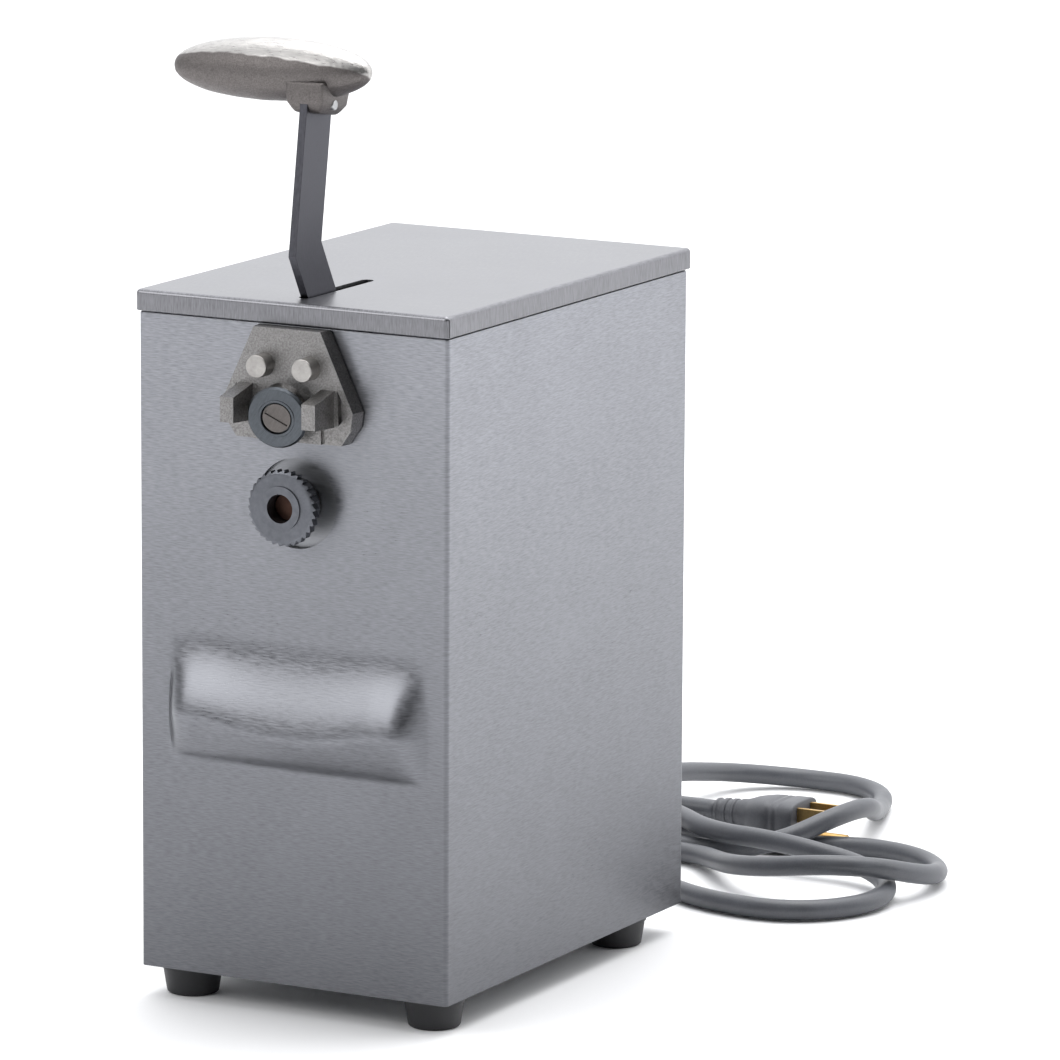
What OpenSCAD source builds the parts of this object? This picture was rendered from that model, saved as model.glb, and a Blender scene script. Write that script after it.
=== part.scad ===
// Counter-top electric can opener: folded steel housing, lever-lowered knife, motor-driven feed wheel.
// Origin under the middle of the object, at the underside of its feet. Front faces -Y, up is +Z.

/* [Housing] */
// Width of the folded shell
body_w = 136; // [112:1:180]
// Depth of the folded shell
body_d = 197.4; // [194:0.2:250]
// Height of the folded shell
shell_h = 258.2; // [240:0.2:330]
// Thickness of the shell, lid and panel sheet
sheet_t = 1.2; // [0.8:0.1:1.5]
// Outside bend radius of the shell corners
bend_r = 1.8; // [1.6:0.1:4]
// Height of the lid's turned-down flange
lid_flange = 8.3; // [6:0.1:16]
// Gap between lid flange and shell
lid_gap = 0.5; // [0.3:0.1:1.5]
// Lid overhang at each side
lid_side = 0.6; // [0.4:0.1:2]
// Lid overhang at the front
lid_front = 1.6; // [0.6:0.1:3]

/* [Feet] */
// Height of a rubber foot
foot_h = 12; // [8:0.5:18]
// Diameter of a foot at its top
foot_d = 24.4; // [18:0.2:26]
// Distance between left and right feet
foot_span = 108; // [80:1:110]
// Front foot centre behind the shell's front
foot_front = 15.6; // [14:0.1:30]
// Rear foot centre in front of the shell's rear
foot_rear = 32; // [14:0.5:40]

/* [Can rest] */
// How far the stamped can rest stands out
rest_proud = 10; // [5:0.5:14]
// Width of the can rest's flat crest
rest_w = 76; // [50:1:80]
// Crest of the can rest below the shell's top
rest_drop = 159; // [140:1:175]

/* [Handle] */
// Width of the flat handle arm
arm_w = 19; // [15:0.5:23]
// Thickness of the handle arm
arm_t = 3.2; // [2.5:0.1:3.2]
// Forward lean of the arm's lower part, degrees
lean_low = 29.4; // [27:0.1:31]
// Backward lean of the arm's upper part, degrees
lean_up = 8.8; // [0:0.1:15]
// Pivot to elbow
arm_low = 76.4; // [72:0.2:84]
// Elbow to knob centre
arm_up = 67.5; // [60:0.5:90]
// Swing of the arm, degrees
swing = 31.5; // [20:0.5:31.5]
// Length of the handle knob
knob_l = 86; // [70:1:110]
// Diameter of the handle knob
knob_d = 24.4; // [20:0.2:30]
// Knob centre to the left of the arm
knob_left = 20; // [0:0.5:30]

/* [Knife] */
// Diameter of the knife wheel
knife_d = 24.2; // [18:0.2:27]
// Thickness of the knife wheel
knife_t = 2.6; // [2:0.1:3]
// Knife turned towards the right, degrees
knife_yaw = 10.8; // [0:0.1:14]
// Knife face turned down, degrees
knife_pitch = 7.2; // [0:0.1:10]
// Vertical travel of the knife carriage
travel = 11.5; // [8:0.1:12]
// How far the can guides stand out of the shell
lug_proud = 22; // [19:0.5:28]
// Diameter of the guide studs
stud_d = 9; // [6:0.5:10]

/* [Feed drive] */
// Diameter of the toothed feed wheel
wheel_d = 29.6; // [24:0.2:31]
// Teeth on the feed wheel
wheel_teeth = 30; // [18:1:40]
// Diameter of the feed shaft
shaft_d = 11.1; // [8:0.1:13.5]
// Module of the slow gear pair
slow_m = 1.5; // [1.2:0.1:1.6]
// Module of the fast gear pair
fast_m = 1; // [0.8:0.1:1.1]

/* [Motor] */
// Outside diameter of the motor
motor_d = 78; // [74:1:84]
// Length of the rotor and stator stack
stack_l = 30; // [22:1:31]

/* [Mains lead] */
// Diameter of the power cord
cord_d = 8.4; // [7:0.1:8.4]
// Length of the tapered strain relief
relief_l = 32; // [20:1:32]

/* [Hidden] */
$fn = 48;

// Fits: seat is a fixed seat's radial gap, run a running fit's, play the gap between moving neighbours
seat = 0.03;
run = 0.06;
play = 0.5;
far = 400;

// Housing places
rear_proud = 2.4;
lid_rear = 0.9;
front_y = -(body_d + rear_proud - lug_proud) / 2;
rear_y = front_y + body_d;
shell_top = foot_h + shell_h;
lid_bottom = shell_top + lid_gap;
lid_top = lid_bottom + lid_flange;
joggle = sheet_t + 0.4 - min(lid_side, 0.4);
joggle_h = lid_flange - sheet_t - 1.1;
return_w = 10;
base_t = 1.5;
floor_z = foot_h + base_t;
inner_w = body_w - 2 * sheet_t;

// Mechanism places
mech_x = 2;
feed_drop = 68.7;
feed_z = shell_top - feed_drop;
knife_drop = 33.2;
knife_x = mech_x + 0.7;
knife_z = shell_top - knife_drop;
knife_proud = 16.5;
stud_gap = 19.9;
stud_drop = 14.6;
stud_z = shell_top - stud_drop;
wheel_hole_d = wheel_d + 5.4;

// Frame places
frame_gap = 60;
cheek_t = 6;
frame_w = frame_gap + 2 * cheek_t;
frame_y = front_y + sheet_t + 1.2;
bush_wall_t = 8;
bush_wall_top = feed_z + 17.5;
wall_y = front_y + 82.9;
wall_t = 6;
wall_back = wall_y + wall_t;
wall_top = feed_z + 38.5;
cheek_low = feed_z - 17.5;
cheek_top = shell_top - 8.2;
cover_y = wall_back + 24;
cover_t = 3;
cover_back = cover_y + cover_t;

// Slide carriage
plate_gap = 0.6;
plate_front = 7.3;
block_w = 40;
block_y = frame_y;
block_t = 12.5;
block_h = 30;
block_low = bush_wall_top + travel + 2.5;
groove = 3;
tongue_w = 4;
spring_gap = 24;

// Handle arm and its crank
arm_x = -1.5;
arm_left = arm_x - arm_t / 2;
arm_right = arm_x + arm_t / 2;
pivot_drop = 48;
pivot_back = 50.1;
pivot_d = 10;
pivot_y = front_y + pivot_back;
pivot_z = lid_top - pivot_drop;
crank_r = travel / (2 * sin(swing / 2));
pin_d = 6;
pin_y = pivot_y + crank_r * cos(swing / 2);
pin_z = pivot_z + crank_r * sin(swing / 2);
yoke_t = 4;
yoke_x = arm_right + play;
elbow = [pivot_y - arm_low * sin(lean_low), pivot_z + arm_low * cos(lean_low)];
knob_at = [elbow[0] + arm_up * sin(lean_up), elbow[1] + arm_up * cos(lean_up)];
arm_top = [elbow[0] + (arm_up - 6) * sin(lean_up), elbow[1] + (arm_up - 6) * cos(lean_up)];
slot_w = arm_t + 2;
slot_front = pivot_y - pivot_drop * tan(lean_low) - arm_w / 2 / cos(lean_low) - 1.6;
slot_rear = pivot_y + pivot_drop * tan(swing - lean_low) + arm_w / 2 / cos(swing - lean_low) + 1.6;

// Switch and the spiral cam that works it
cam_r = 12;
cam_rise = 2;
cam_x = arm_left - 14.9;
cam_w = 8;
switch_gap = 0.3;
switch_d = 3;
switch_face = pivot_y - cam_r - cam_rise - 2.2;

// Gear train
slow_big = 48;
slow_small = 12;
fast_big = 60;
fast_small = 12;
idler_z = feed_z - slow_m * (slow_big + slow_small) / 2;
motor_z = idler_z - fast_m * (fast_big + fast_small) / 2;
idler_d = 8;
rotor_d = 8;
slow_y = wall_back + 2;
slow_w = 8;
fast_y = wall_back + 12.5;
fast_w = 6.5;

// Motor places
rim_t = 6;
bell_t = 4;
bearing_d = 22;
bearing_w = 7;
stack_y = cover_back + 23;
stack_end = stack_y + stack_l;
bell_end = stack_end + 15;
air_gap = 0.8;
bore_d = motor_d - 33;
brush_y = stack_end + 2.5;
brush_w = 7;
bolt_ring = (motor_d - rim_t) / 2;

// Cord: where it leaves the panel, and the corners of its way to the plug, from the relief's tip
cord_x = -45;
cord_z = 36;
route = [
    [-45, 0, 36], [-45, 21, 36], [-45, 57, 13.6], [-42, 141, 20], [-29, 225, 4.3], [36, 225, 4.3],
    [54, 175, 4.3], [71, 131, 21], [41, 85, 4.3], [-11, 85, 4.3], [-57, 48, 4.3], [-97, 63, 4.3],
    [-101, 107, 4.3], [-63, 128, 4.3], [-20, 102, 4.3], [28, 102, 4.3], [94, 126, 4.3], [134, 84, 4.3],
    [113, 31, 20], [62, 31, 12], [20, 74, 4.3], [-10, 74, 4.3], [-55, 33, 4.3], [-112, 56, 4.3],
    [-112, 116, 4.3], [-56, 142, 4.3], [-8, 103, 14.4], [23, 79, 13.4], [56, 77, 13.4], [104, 76, 7],
    [127, 39, 4.3], [104, 1, 4.3], [64, 1, 4.3], [8, 31, 4.3], [-104, 28, 4.3], [-137, 94, 4.3],
    [-88, 153, 4.3], [-22, 132, 9.2], [0, 132, 9.2]
];
plug_at = route[len(route) - 1];

// ---- general helpers ----

module along_x(p, d, l) {
    translate(p) rotate([0, 90, 0]) cylinder(d = d, h = l);
}

module along_y(p, d, l) {
    translate(p) rotate([-90, 0, 0]) cylinder(d = d, h = l);
}

module along_z(p, d, l) {
    translate(p) cylinder(d = d, h = l);
}

module slab(low, high) {
    translate(low) cube(high - low);
}

// A profile drawn in Y and Z, given a thickness along X
module yz_plate(x, t) {
    translate([x, 0, 0]) rotate([90, 0, 90]) linear_extrude(t) children();
}

// A profile drawn in X and Z, given a thickness along Y
module xz_plate(y, t) {
    translate([0, y + t, 0]) rotate([90, 0, 0]) linear_extrude(t) children();
}

module ring_y(p, d, bore, l) {
    difference() {
        along_y(p, d, l);
        along_y(p - [0, 1, 0], bore, l + 2);
    }
}

module slot_2d(a, b, d) {
    translate(a) circle(d = d);
    translate(b) circle(d = d);
    hull_box_2d(a, b, d);
}

// The straight middle of a slot that runs along one axis
module hull_box_2d(a, b, d) {
    if (a[0] == b[0]) {
        translate([a[0] - d / 2, min(a[1], b[1])]) square([d, abs(b[1] - a[1])]);
    } else {
        translate([min(a[0], b[0]), a[1] - d / 2]) square([abs(b[0] - a[0]), d]);
    }
}

// A screw with a round head, pointing along +Y from its head's seat
module screw_y(p, shank, l, head, head_h) {
    along_y(p, shank, l);
    along_y(p - [0, head_h, 0], head, head_h);
}

// Spur gear outline with straight-flanked teeth, one tooth centred on +X
module gear_2d(teeth, m) {
    pitch = m * teeth / 2;
    root = pitch - 1.25 * m;
    tip = pitch + 0.85 * m;
    step = 360 / teeth;
    polygon([
        for (i = [0 : teeth - 1])
            for (p = [[root, -0.36], [tip, -0.11], [tip, 0.11], [root, 0.36]])
                [p[0] * cos(step * (i + p[1])), p[0] * sin(step * (i + p[1]))]
    ]);
}

module gear_y(p, teeth, m, w, bore, turn) {
    translate(p) rotate([-90, 0, 0]) difference() {
        rotate(turn) linear_extrude(w) gear_2d(teeth, m);
        translate([0, 0, -1]) cylinder(d = bore, h = w + 2);
    }
}

// ---- housing ----

// Plan of a box whose two front corners are rounded, front edge on y = 0
module plan(w, d, r) {
    translate([-w / 2, r]) square([w, d - r]);
    translate([r - w / 2, 0]) square([w - 2 * r, r]);
    for (side = [-1, 1]) {
        translate([side * (w / 2 - r), r]) circle(r);
    }
}

// Front and side walls in plan, open at the rear
module wall_plan(w, d, r) {
    difference() {
        plan(w, d, r);
        translate([0, sheet_t]) plan(w - 2 * sheet_t, d, max(r - sheet_t, 0.3));
    }
}

// The stamped can rest as a solid, shrunk by a margin for its hollow back
module rest_form(margin) {
    crest_z = shell_top - rest_drop;
    into = margin / 2;
    hull() {
        for (side = [-1, 1]) {
            for (z = [crest_z - 2, crest_z + 22]) {
                translate([mech_x + side * (rest_w / 2 + 6), front_y + sheet_t + into, z])
                    rotate([90, 0, 0]) cylinder(r = 12 - margin, h = sheet_t + into, $fn = 32);
            }
            for (z = [crest_z - 2, crest_z + 3]) {
                translate([mech_x + side * (rest_w / 2 - 5), front_y - rest_proud + 5, z])
                    sphere(r = 5 - margin, $fn = 32);
            }
        }
    }
}

back_screw_z = [foot_h + 14, foot_h + shell_h / 2, shell_top - 20];
back_screw_x = body_w / 2 - sheet_t - return_w / 2;

module shell() {
    color("silver") difference() {
        union() {
            translate([0, front_y, foot_h]) linear_extrude(shell_h) wall_plan(body_w, body_d, bend_r);
            translate([0, front_y, shell_top - sheet_t]) linear_extrude(sheet_t) difference() {
                plan(body_w, body_d - 4, bend_r);
                translate([0, joggle + sheet_t])
                    plan(body_w - 2 * (joggle + sheet_t), body_d, bend_r);
            }
            translate([0, front_y + joggle, shell_top - sheet_t]) linear_extrude(joggle_h + sheet_t)
                wall_plan(body_w - 2 * joggle, body_d - 4 - joggle, bend_r);
            for (side = [-1, 1]) {
                translate([side * (inner_w - return_w) / 2, rear_y - 1.5 * sheet_t, foot_h + shell_h / 2])
                    cube([return_w + 0.2, sheet_t, shell_h - 8], center = true);
            }
            rest_form(0);
        }
        rest_form(sheet_t);
        along_y([mech_x, front_y - 1, feed_z], wheel_hole_d, sheet_t + 2);
        for (side = [-1, 1]) {
            x = mech_x + side * stud_gap / 2;
            xz_plate(front_y - 1, sheet_t + 2)
                slot_2d([x, stud_z - travel - 0.5], [x, stud_z + 0.5], stud_d + 2);
            for (z = back_screw_z) {
                along_y([side * back_screw_x, rear_y - 6, z], 3.4, 8);
            }
        }
    }
}

module lid() {
    w = body_w + 2 * lid_side;
    d = body_d + lid_front + lid_rear;
    y = front_y - lid_front;
    color("gainsboro") difference() {
        translate([0, y, lid_bottom]) linear_extrude(lid_flange) plan(w, d, bend_r);
        translate([0, y + sheet_t, lid_bottom - 1]) linear_extrude(lid_flange - sheet_t + 1)
            plan(w - 2 * sheet_t, d - 2 * sheet_t, bend_r);
        for (side = [-1, 1]) {
            translate([side * w / 2, y, lid_bottom + 2]) cube([4 * sheet_t, 0.6, 7], center = true);
            along_y([side * lid_screw_x, rear_y - 2, lid_screw_z], 4, 5);
        }
        translate([0, 0, lid_top - 2 * sheet_t]) linear_extrude(3 * sheet_t)
            slot_2d([arm_x, slot_front + slot_w / 2], [arm_x, slot_rear - slot_w / 2], slot_w);
    }
}

lid_screw_x = body_w / 2 - 22;
lid_screw_z = lid_bottom + 4;

module lid_screws() {
    color("dimgray") for (side = [-1, 1]) {
        translate([side * lid_screw_x, rear_y + lid_rear, lid_screw_z]) rotate([0, 0, 180])
            screw_y([0, 0, 0], 3.6, 6, 6.5, 1.5);
    }
}

foot_places = [
    for (x = [-foot_span / 2, foot_span / 2]) for (y = [front_y + foot_front, rear_y - foot_rear]) [x, y, 0]
];

frame_bolt_x = frame_w / 2 - 8;
frame_bolt_y = [wall_y - 18, wall_y - 8];

module base_plate() {
    w = inner_w - 0.6;
    y0 = front_y + sheet_t + 0.3;
    d = rear_y - 2 * sheet_t - 0.6 - y0;
    color("lightgray") difference() {
        translate([0, y0, foot_h]) union() {
            linear_extrude(base_t) plan(w, d, bend_r);
            linear_extrude(12) difference() {
                plan(w, d, bend_r);
                translate([0, base_t]) plan(w - 2 * base_t, d - 2 * base_t, bend_r);
            }
        }
        for (p = foot_places) {
            along_z(p, 4.4, foot_h + 5);
        }
        for (side = [-1, 1]) {
            for (y = frame_bolt_y) {
                along_z([mech_x + side * frame_bolt_x, y, foot_h - 1], 5.2, 4);
            }
        }
        for (i = [0 : 5]) {
            translate([-24 + i * 9, rear_y - 60, foot_h - 1]) cube([4, 36, 4]);
        }
    }
}

module back_panel() {
    w = inner_w - 0.6;
    color("silver") difference() {
        union() {
            slab([-w / 2, rear_y - sheet_t, foot_h + 0.5], [w / 2, rear_y, shell_top - 0.5]);
            slab([-w / 2 + 12, rear_y - 2 * sheet_t - 0.2, shell_top - 10],
                 [w / 2 - 12, rear_y - sheet_t, shell_top + joggle_h]);
        }
        for (side = [-1, 1]) {
            for (z = back_screw_z) {
                along_y([side * back_screw_x, rear_y - 3, z], 4, 6);
            }
            along_y([side * lid_screw_x, rear_y - 6, lid_screw_z], 3.7, 8);
        }
        for (row = [0 : 7]) {
            for (col = [-1, 1]) {
                x = col * 24;
                z = motor_z - 30 + row * 9;
                xz_plate(rear_y - 6, 8) slot_2d([x - 15, z], [x + 15, z], 3.6);
            }
        }
        along_y([cord_x, rear_y - 4, cord_z], 16, 6);
    }
}

module back_screws() {
    color("dimgray") for (side = [-1, 1]) {
        for (z = back_screw_z) {
            translate([side * back_screw_x, rear_y, z]) rotate([0, 0, 180])
                screw_y([0, 0, 0], 3.3, 7, 7, 1.8);
        }
    }
}

module foot_profile() {
    top = foot_d / 2;
    low = foot_d / 2 - 2;
    round = 1.6;
    difference() {
        union() {
            polygon([[0, 0], [low - round, 0], [low, round], [top, foot_h], [0, foot_h]]);
            translate([low - round, round]) circle(round);
        }
        translate([-far, -far]) square([far, 2 * far]);
        square([4.9, foot_h - 5]);
        square([2.2, foot_h + 1]);
    }
}

module feet() {
    color("#202022") for (p = foot_places) {
        translate(p) rotate_extrude($fn = 64) foot_profile();
    }
}

module foot_screws() {
    color("dimgray") for (p = foot_places) {
        along_z(p + [0, 0, foot_h - 5], 4.2, 12);
        along_z(p + [0, 0, foot_h - 7.4], 8, 2.4);
    }
}

// ---- mains lead ----

module strain_relief() {
    color("#707276") translate([cord_x, rear_y, cord_z]) rotate([-90, 0, 0]) {
        cylinder(d = 21, h = 2.2);
        translate([0, 0, -6]) cylinder(d = 15.8, h = 7);
        translate([0, 0, 2]) cylinder(d1 = 14.5, d2 = cord_d + 2.4, h = relief_l - 2);
    }
}

function unit(v) = v / norm(v);

// Places on the arc that rounds the corner at b, at equal shares of its turn
function corner_arc(a, b, c, leg, steps) =
    let (u = unit(a - b), v = unit(c - b), half = acos(u * v) / 2, r = leg * tan(half))
        [for (k = [0 : steps - 1])
            let (turn = (90 - half) * ((2 * k + 1) / steps - 1))
                b + r * ((1 / sin(half) - cos(turn)) * unit(u + v) + sin(turn) * unit(v - u))];

// A leg between two corners is shared by their arcs; the first and last legs are not shared
function leg_share(i, j) =
    norm(route[j] - route[i]) / (i == 0 || j == len(route) - 1 ? 1 : 2);

cord_steps = 2;
cord_line = [
    route[0],
    for (i = [1 : len(route) - 2])
        each corner_arc(route[i - 1], route[i], route[i + 1],
                        min(leg_share(i - 1, i), leg_share(i, i + 1)), cord_steps),
    plug_at
];

function heading(line, i) =
    unit(line[min(i + 1, len(line) - 1)] - line[max(i - 1, 0)]);

// One closed tube of round section along a line of points
module tube(line, d, sides) {
    rings = [
        for (i = [0 : len(line) - 1])
            let (t = heading(line, i), u = unit(cross(t, [0, 0, 1])), v = cross(u, t))
                for (k = [0 : sides - 1])
                    line[i] + d / 2 * (cos(360 * k / sides) * u + sin(360 * k / sides) * v)
    ];
    last = (len(line) - 1) * sides;
    walls = [
        for (i = [0 : len(line) - 2])
            for (k = [0 : sides - 1])
                let (a = i * sides + k, b = i * sides + (k + 1) % sides)
                    for (corners = [[a, b, b + sides], [a, b + sides, a + sides]])
                        corners
    ];
    ends = [[for (k = [sides - 1 : -1 : 0]) k], [for (k = [0 : sides - 1]) last + k]];
    polyhedron(rings, concat(walls, ends));
}

module power_cord() {
    color("#6d6f73") translate([0, rear_y + relief_l, 0]) tube(cord_line, cord_d, 12);
}

module at_plug() {
    translate([0, rear_y + relief_l, 0] + plug_at) children();
}

plug_l = 41;
plug_w = 26;
plug_h = 18;
tail_l = 16;

module plug_body() {
    color("#55575b") at_plug() {
        hull() {
            translate([tail_l, 0, 0]) rotate([0, 90, 0]) cylinder(d = 15, h = 1, $fn = 32);
            translate([tail_l + 10, 0, 0]) cube([2, plug_w - 2, plug_h - 1], center = true);
            translate([plug_l - 1, 0, 0]) cube([2, plug_w, plug_h], center = true);
        }
        rotate([0, 90, 0]) cylinder(d1 = cord_d + 2, d2 = 13, h = tail_l + 0.5);
    }
}

module plug_blades() {
    color("gold") at_plug() for (side = [-1, 1]) {
        translate([plug_l, side * 6.35 - 0.75, 0.7]) cube([17, 1.5, 6.3]);
    }
}

module plug_ground_pin() {
    color("gold") at_plug() along_x([plug_l, 0, -6.2], 4.8, 20.5);
}

module terminal_block() {
    x = -body_w / 2 + 10;
    color("ivory") difference() {
        slab([x, rear_y - 22, floor_z], [x + 36, rear_y - 8, floor_z + 12]);
        for (i = [0 : 2]) {
            along_z([x + 6 + i * 12, rear_y - 15, floor_z + 4], 6, 12);
        }
    }
}

// ---- frame and gearbox ----

post_x = frame_w / 2 - 10.5;
post_places = [
    for (side = [-1, 1]) for (z = [wall_top - 4.2, motor_z - 32]) [mech_x + side * post_x, wall_back, z]
];
front_bush_d = shaft_d + 7;
small_bush_d = idler_d + 5;
pivot_bush_d = pivot_d + 5;
gib_screw_z = [block_low - 6, block_low + 20];
gib_screw_y = block_y + 4.5;

module main_frame() {
    low_x = mech_x - frame_w / 2;
    high_x = mech_x + frame_w / 2;
    color("darkgray") difference() {
        union() {
            for (x = [low_x, high_x - cheek_t]) {
                slab([x, frame_y, cheek_low], [x + cheek_t, wall_y + 1, cheek_top]);
            }
            slab([low_x + 1, frame_y, cheek_low], [high_x - 1, frame_y + bush_wall_t, bush_wall_top]);
            slab([low_x, wall_y, floor_z], [high_x, wall_back, wall_top]);
            slab([low_x, wall_y - 26, floor_z], [high_x, wall_y + 1, floor_z + 4]);
        }
        along_y([mech_x, frame_y - 1, feed_z], front_bush_d + 2 * seat, bush_wall_t + 2);
        along_y([mech_x, wall_y - 1, feed_z], front_bush_d + 2 * seat, wall_t + 2);
        along_y([mech_x, wall_y - 1, idler_z], small_bush_d + 2 * seat, wall_t + 2);
        along_x([low_x - 1, pivot_y, pivot_z], pivot_bush_d + 2 * seat, frame_w + 2);
        slab([mech_x - 22, wall_y - 1, floor_z + 16], [mech_x + 22, wall_back + 1, motor_z - 12]);
        for (p = post_places) {
            along_y(p - [0, wall_t + 1, 0], 4.2, wall_t + 2);
        }
        for (side = [-1, 1]) {
            for (z = gib_screw_z) {
                along_x([mech_x + side * (frame_gap / 2 + cheek_t / 2) - 5, gib_screw_y, z], 3.2, 10);
            }
            for (y = frame_bolt_y) {
                along_z([mech_x + side * frame_bolt_x, y, floor_z - 1], 5.2, 8);
            }
        }
    }
}

module frame_screws() {
    color("dimgray") for (side = [-1, 1]) {
        for (y = frame_bolt_y) {
            along_z([mech_x + side * frame_bolt_x, y, foot_h - 0.4], 5, 6);
            along_z([mech_x + side * frame_bolt_x, y, floor_z + 4], 9, 3);
        }
    }
}

module gearbox_cover() {
    low = motor_z - motor_d / 2;
    color("darkgray") difference() {
        union() {
            slab([mech_x - frame_w / 2, cover_y, low], [mech_x + frame_w / 2, cover_back, wall_top]);
            for (p = post_places) {
                along_y(p, 8, cover_y - wall_back + 1);
            }
        }
        along_y([mech_x, cover_y - 1, feed_z], front_bush_d + 2 * seat, cover_t + 2);
        along_y([mech_x, cover_y - 1, idler_z], small_bush_d + 2 * seat, cover_t + 2);
        along_y([mech_x, cover_y - 1, motor_z], bearing_d, cover_t + 2);
        for (p = post_places) {
            along_y(p - [0, 1, 0], 3.7, 14);
        }
        for (p = motor_bolt_places) {
            along_y(p + [0, cover_y - 1, 0], 4.1, cover_t + 2);
        }
    }
}

module gearbox_screws() {
    color("dimgray") for (p = post_places) {
        screw_y(p - [0, wall_t, 0], 3.6, 16, 7, 3);
    }
}

module gib(side) {
    x0 = mech_x + side * frame_gap / 2;
    x1 = mech_x + side * (block_w / 2 + 0.15);
    x2 = mech_x + side * (block_w / 2 - groove + 0.2);
    mid = block_y + block_t / 2;
    difference() {
        union() {
            slab([min(x0, x1), block_y, bush_wall_top], [max(x0, x1), block_y + block_t, cheek_top]);
            slab([min(x0, x2), mid - tongue_w / 2, bush_wall_top], [max(x0, x2), mid + tongue_w / 2, cheek_top]);
        }
        for (z = gib_screw_z) {
            along_x([x0 - 6, gib_screw_y, z], 3.2, 12);
        }
    }
}

module slide_gibs() {
    color("goldenrod") for (side = [-1, 1]) {
        gib(side);
    }
}

module gib_screws() {
    color("dimgray") for (side = [-1, 1]) {
        for (z = gib_screw_z) {
            outer = mech_x + side * frame_w / 2;
            along_x([min(outer, outer - side * 11), gib_screw_y, z], 3, 11);
            along_x([min(outer, outer + side * 2), gib_screw_y, z], 6, 2);
        }
    }
}

spring_top = block_low + 16;
spring_turns = 7;
spring_steps = 9;
spring_line = [
    for (i = [0 : spring_turns * spring_steps])
        let (s = i / spring_steps / spring_turns, a = 360 * i / spring_steps)
            [3.2 * cos(a), 3.2 * sin(a), 0.55 + (spring_top - bush_wall_top - 1.1) * s]
];

module return_springs() {
    color("slategray") for (side = [-1, 1]) {
        translate([mech_x + side * spring_gap / 2, block_y + 4.5, bush_wall_top]) tube(spring_line, 1, 6);
    }
}

module pivot_bushes() {
    color("peru") for (side = [-1, 1]) {
        x = mech_x + side * (frame_w - cheek_t) / 2 - cheek_t / 2;
        difference() {
            along_x([x, pivot_y, pivot_z], pivot_bush_d, cheek_t);
            along_x([x - 1, pivot_y, pivot_z], pivot_d + 2 * run, cheek_t + 2);
        }
    }
}

module feed_bush_front() {
    color("peru") ring_y([mech_x, frame_y, feed_z], front_bush_d, shaft_d + 2 * run, bush_wall_t + 2);
}

module feed_bush_rear() {
    color("peru") {
        ring_y([mech_x, wall_y, feed_z], front_bush_d, shaft_d + 2 * run, wall_t);
        ring_y([mech_x, cover_y, feed_z], front_bush_d, shaft_d + 2 * run, cover_t + 2);
    }
}

module idler_bushes() {
    color("peru") {
        ring_y([mech_x, wall_y, idler_z], small_bush_d, idler_d + 2 * run, wall_t);
        ring_y([mech_x, cover_y, idler_z], small_bush_d, idler_d + 2 * run, cover_t);
    }
}

// ---- gear train ----

module feed_shaft() {
    color("gray") along_y([mech_x, front_y - 7.1, feed_z], shaft_d, cover_back + 2 - front_y + 7.1);
}

wheel_face = 12.2;
rim_w = 4.2;

// Saw-toothed rim: each tooth has one steep and one easy flank
module saw_rim_2d() {
    step = 360 / wheel_teeth;
    r = wheel_d / 2;
    polygon([
        for (i = [0 : wheel_teeth - 1])
            for (p = [[r - 1.1, 0], [r, 0.12], [r, 0.28]])
                [p[0] * cos(step * (i + p[1])), p[0] * sin(step * (i + p[1]))]
    ]);
}

module feed_wheel() {
    r = wheel_d / 2;
    color("lightsteelblue") translate([mech_x, front_y - wheel_face + rim_w, feed_z]) rotate([90, 0, 0])
        difference() {
            union() {
                intersection() {
                    linear_extrude(rim_w) saw_rim_2d();
                    rotate_extrude($fn = 96)
                        polygon([[0, 0], [r + 1, 0], [r + 1, rim_w - 1.6], [r - 1.9, rim_w], [0, rim_w]]);
                }
                cylinder(d = 17.2, h = rim_w + 0.6);
                translate([0, 0, -9.6]) cylinder(d = 19, h = 10);
            }
            translate([0, 0, -12]) cylinder(d = shaft_d + 2 * seat, h = rim_w + 14);
        }
}

module output_gear() {
    color("darkgoldenrod") {
        gear_y([mech_x, slow_y, feed_z], slow_big, slow_m, slow_w, shaft_d + 2 * seat, 0);
        ring_y([mech_x, slow_y + slow_w, feed_z], shaft_d + 9, shaft_d + 2 * seat, 6);
    }
}

module idler_shaft() {
    color("gray") along_y([mech_x, wall_y, idler_z], idler_d, cover_back - 0.5 - wall_y);
}

module cluster_gear() {
    half_step = 180 / slow_small;
    color("darkgoldenrod") {
        gear_y([mech_x, slow_y - 1, idler_z], slow_small, slow_m, fast_y - slow_y + 1.5,
               idler_d + 2 * seat, half_step);
        gear_y([mech_x, fast_y, idler_z], fast_big, fast_m, fast_w, idler_d + 2 * seat, 0);
    }
}

module motor_pinion() {
    color("gray")
        gear_y([mech_x, fast_y - 1, motor_z], fast_small, fast_m, fast_w + 2, 5 + 2 * seat, 180 / fast_small);
}

// ---- motor ----

motor_bolt_places = [
    for (a = [45, 225]) [mech_x + bolt_ring * cos(a), 0, motor_z + bolt_ring * sin(a)]
];

module motor_tube(y, l) {
    ring_y([mech_x, y, motor_z], motor_d, motor_d - 2 * rim_t, l);
}

module motor_bolt_holes() {
    for (p = motor_bolt_places) {
        along_y(p + [0, cover_y - 2, 0], 4.1, bell_end - cover_y + 10);
    }
}

module stator_core() {
    color("#5d4037") difference() {
        ring_y([mech_x, stack_y, motor_z], motor_d, bore_d, stack_l);
        motor_bolt_holes();
    }
}

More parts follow.
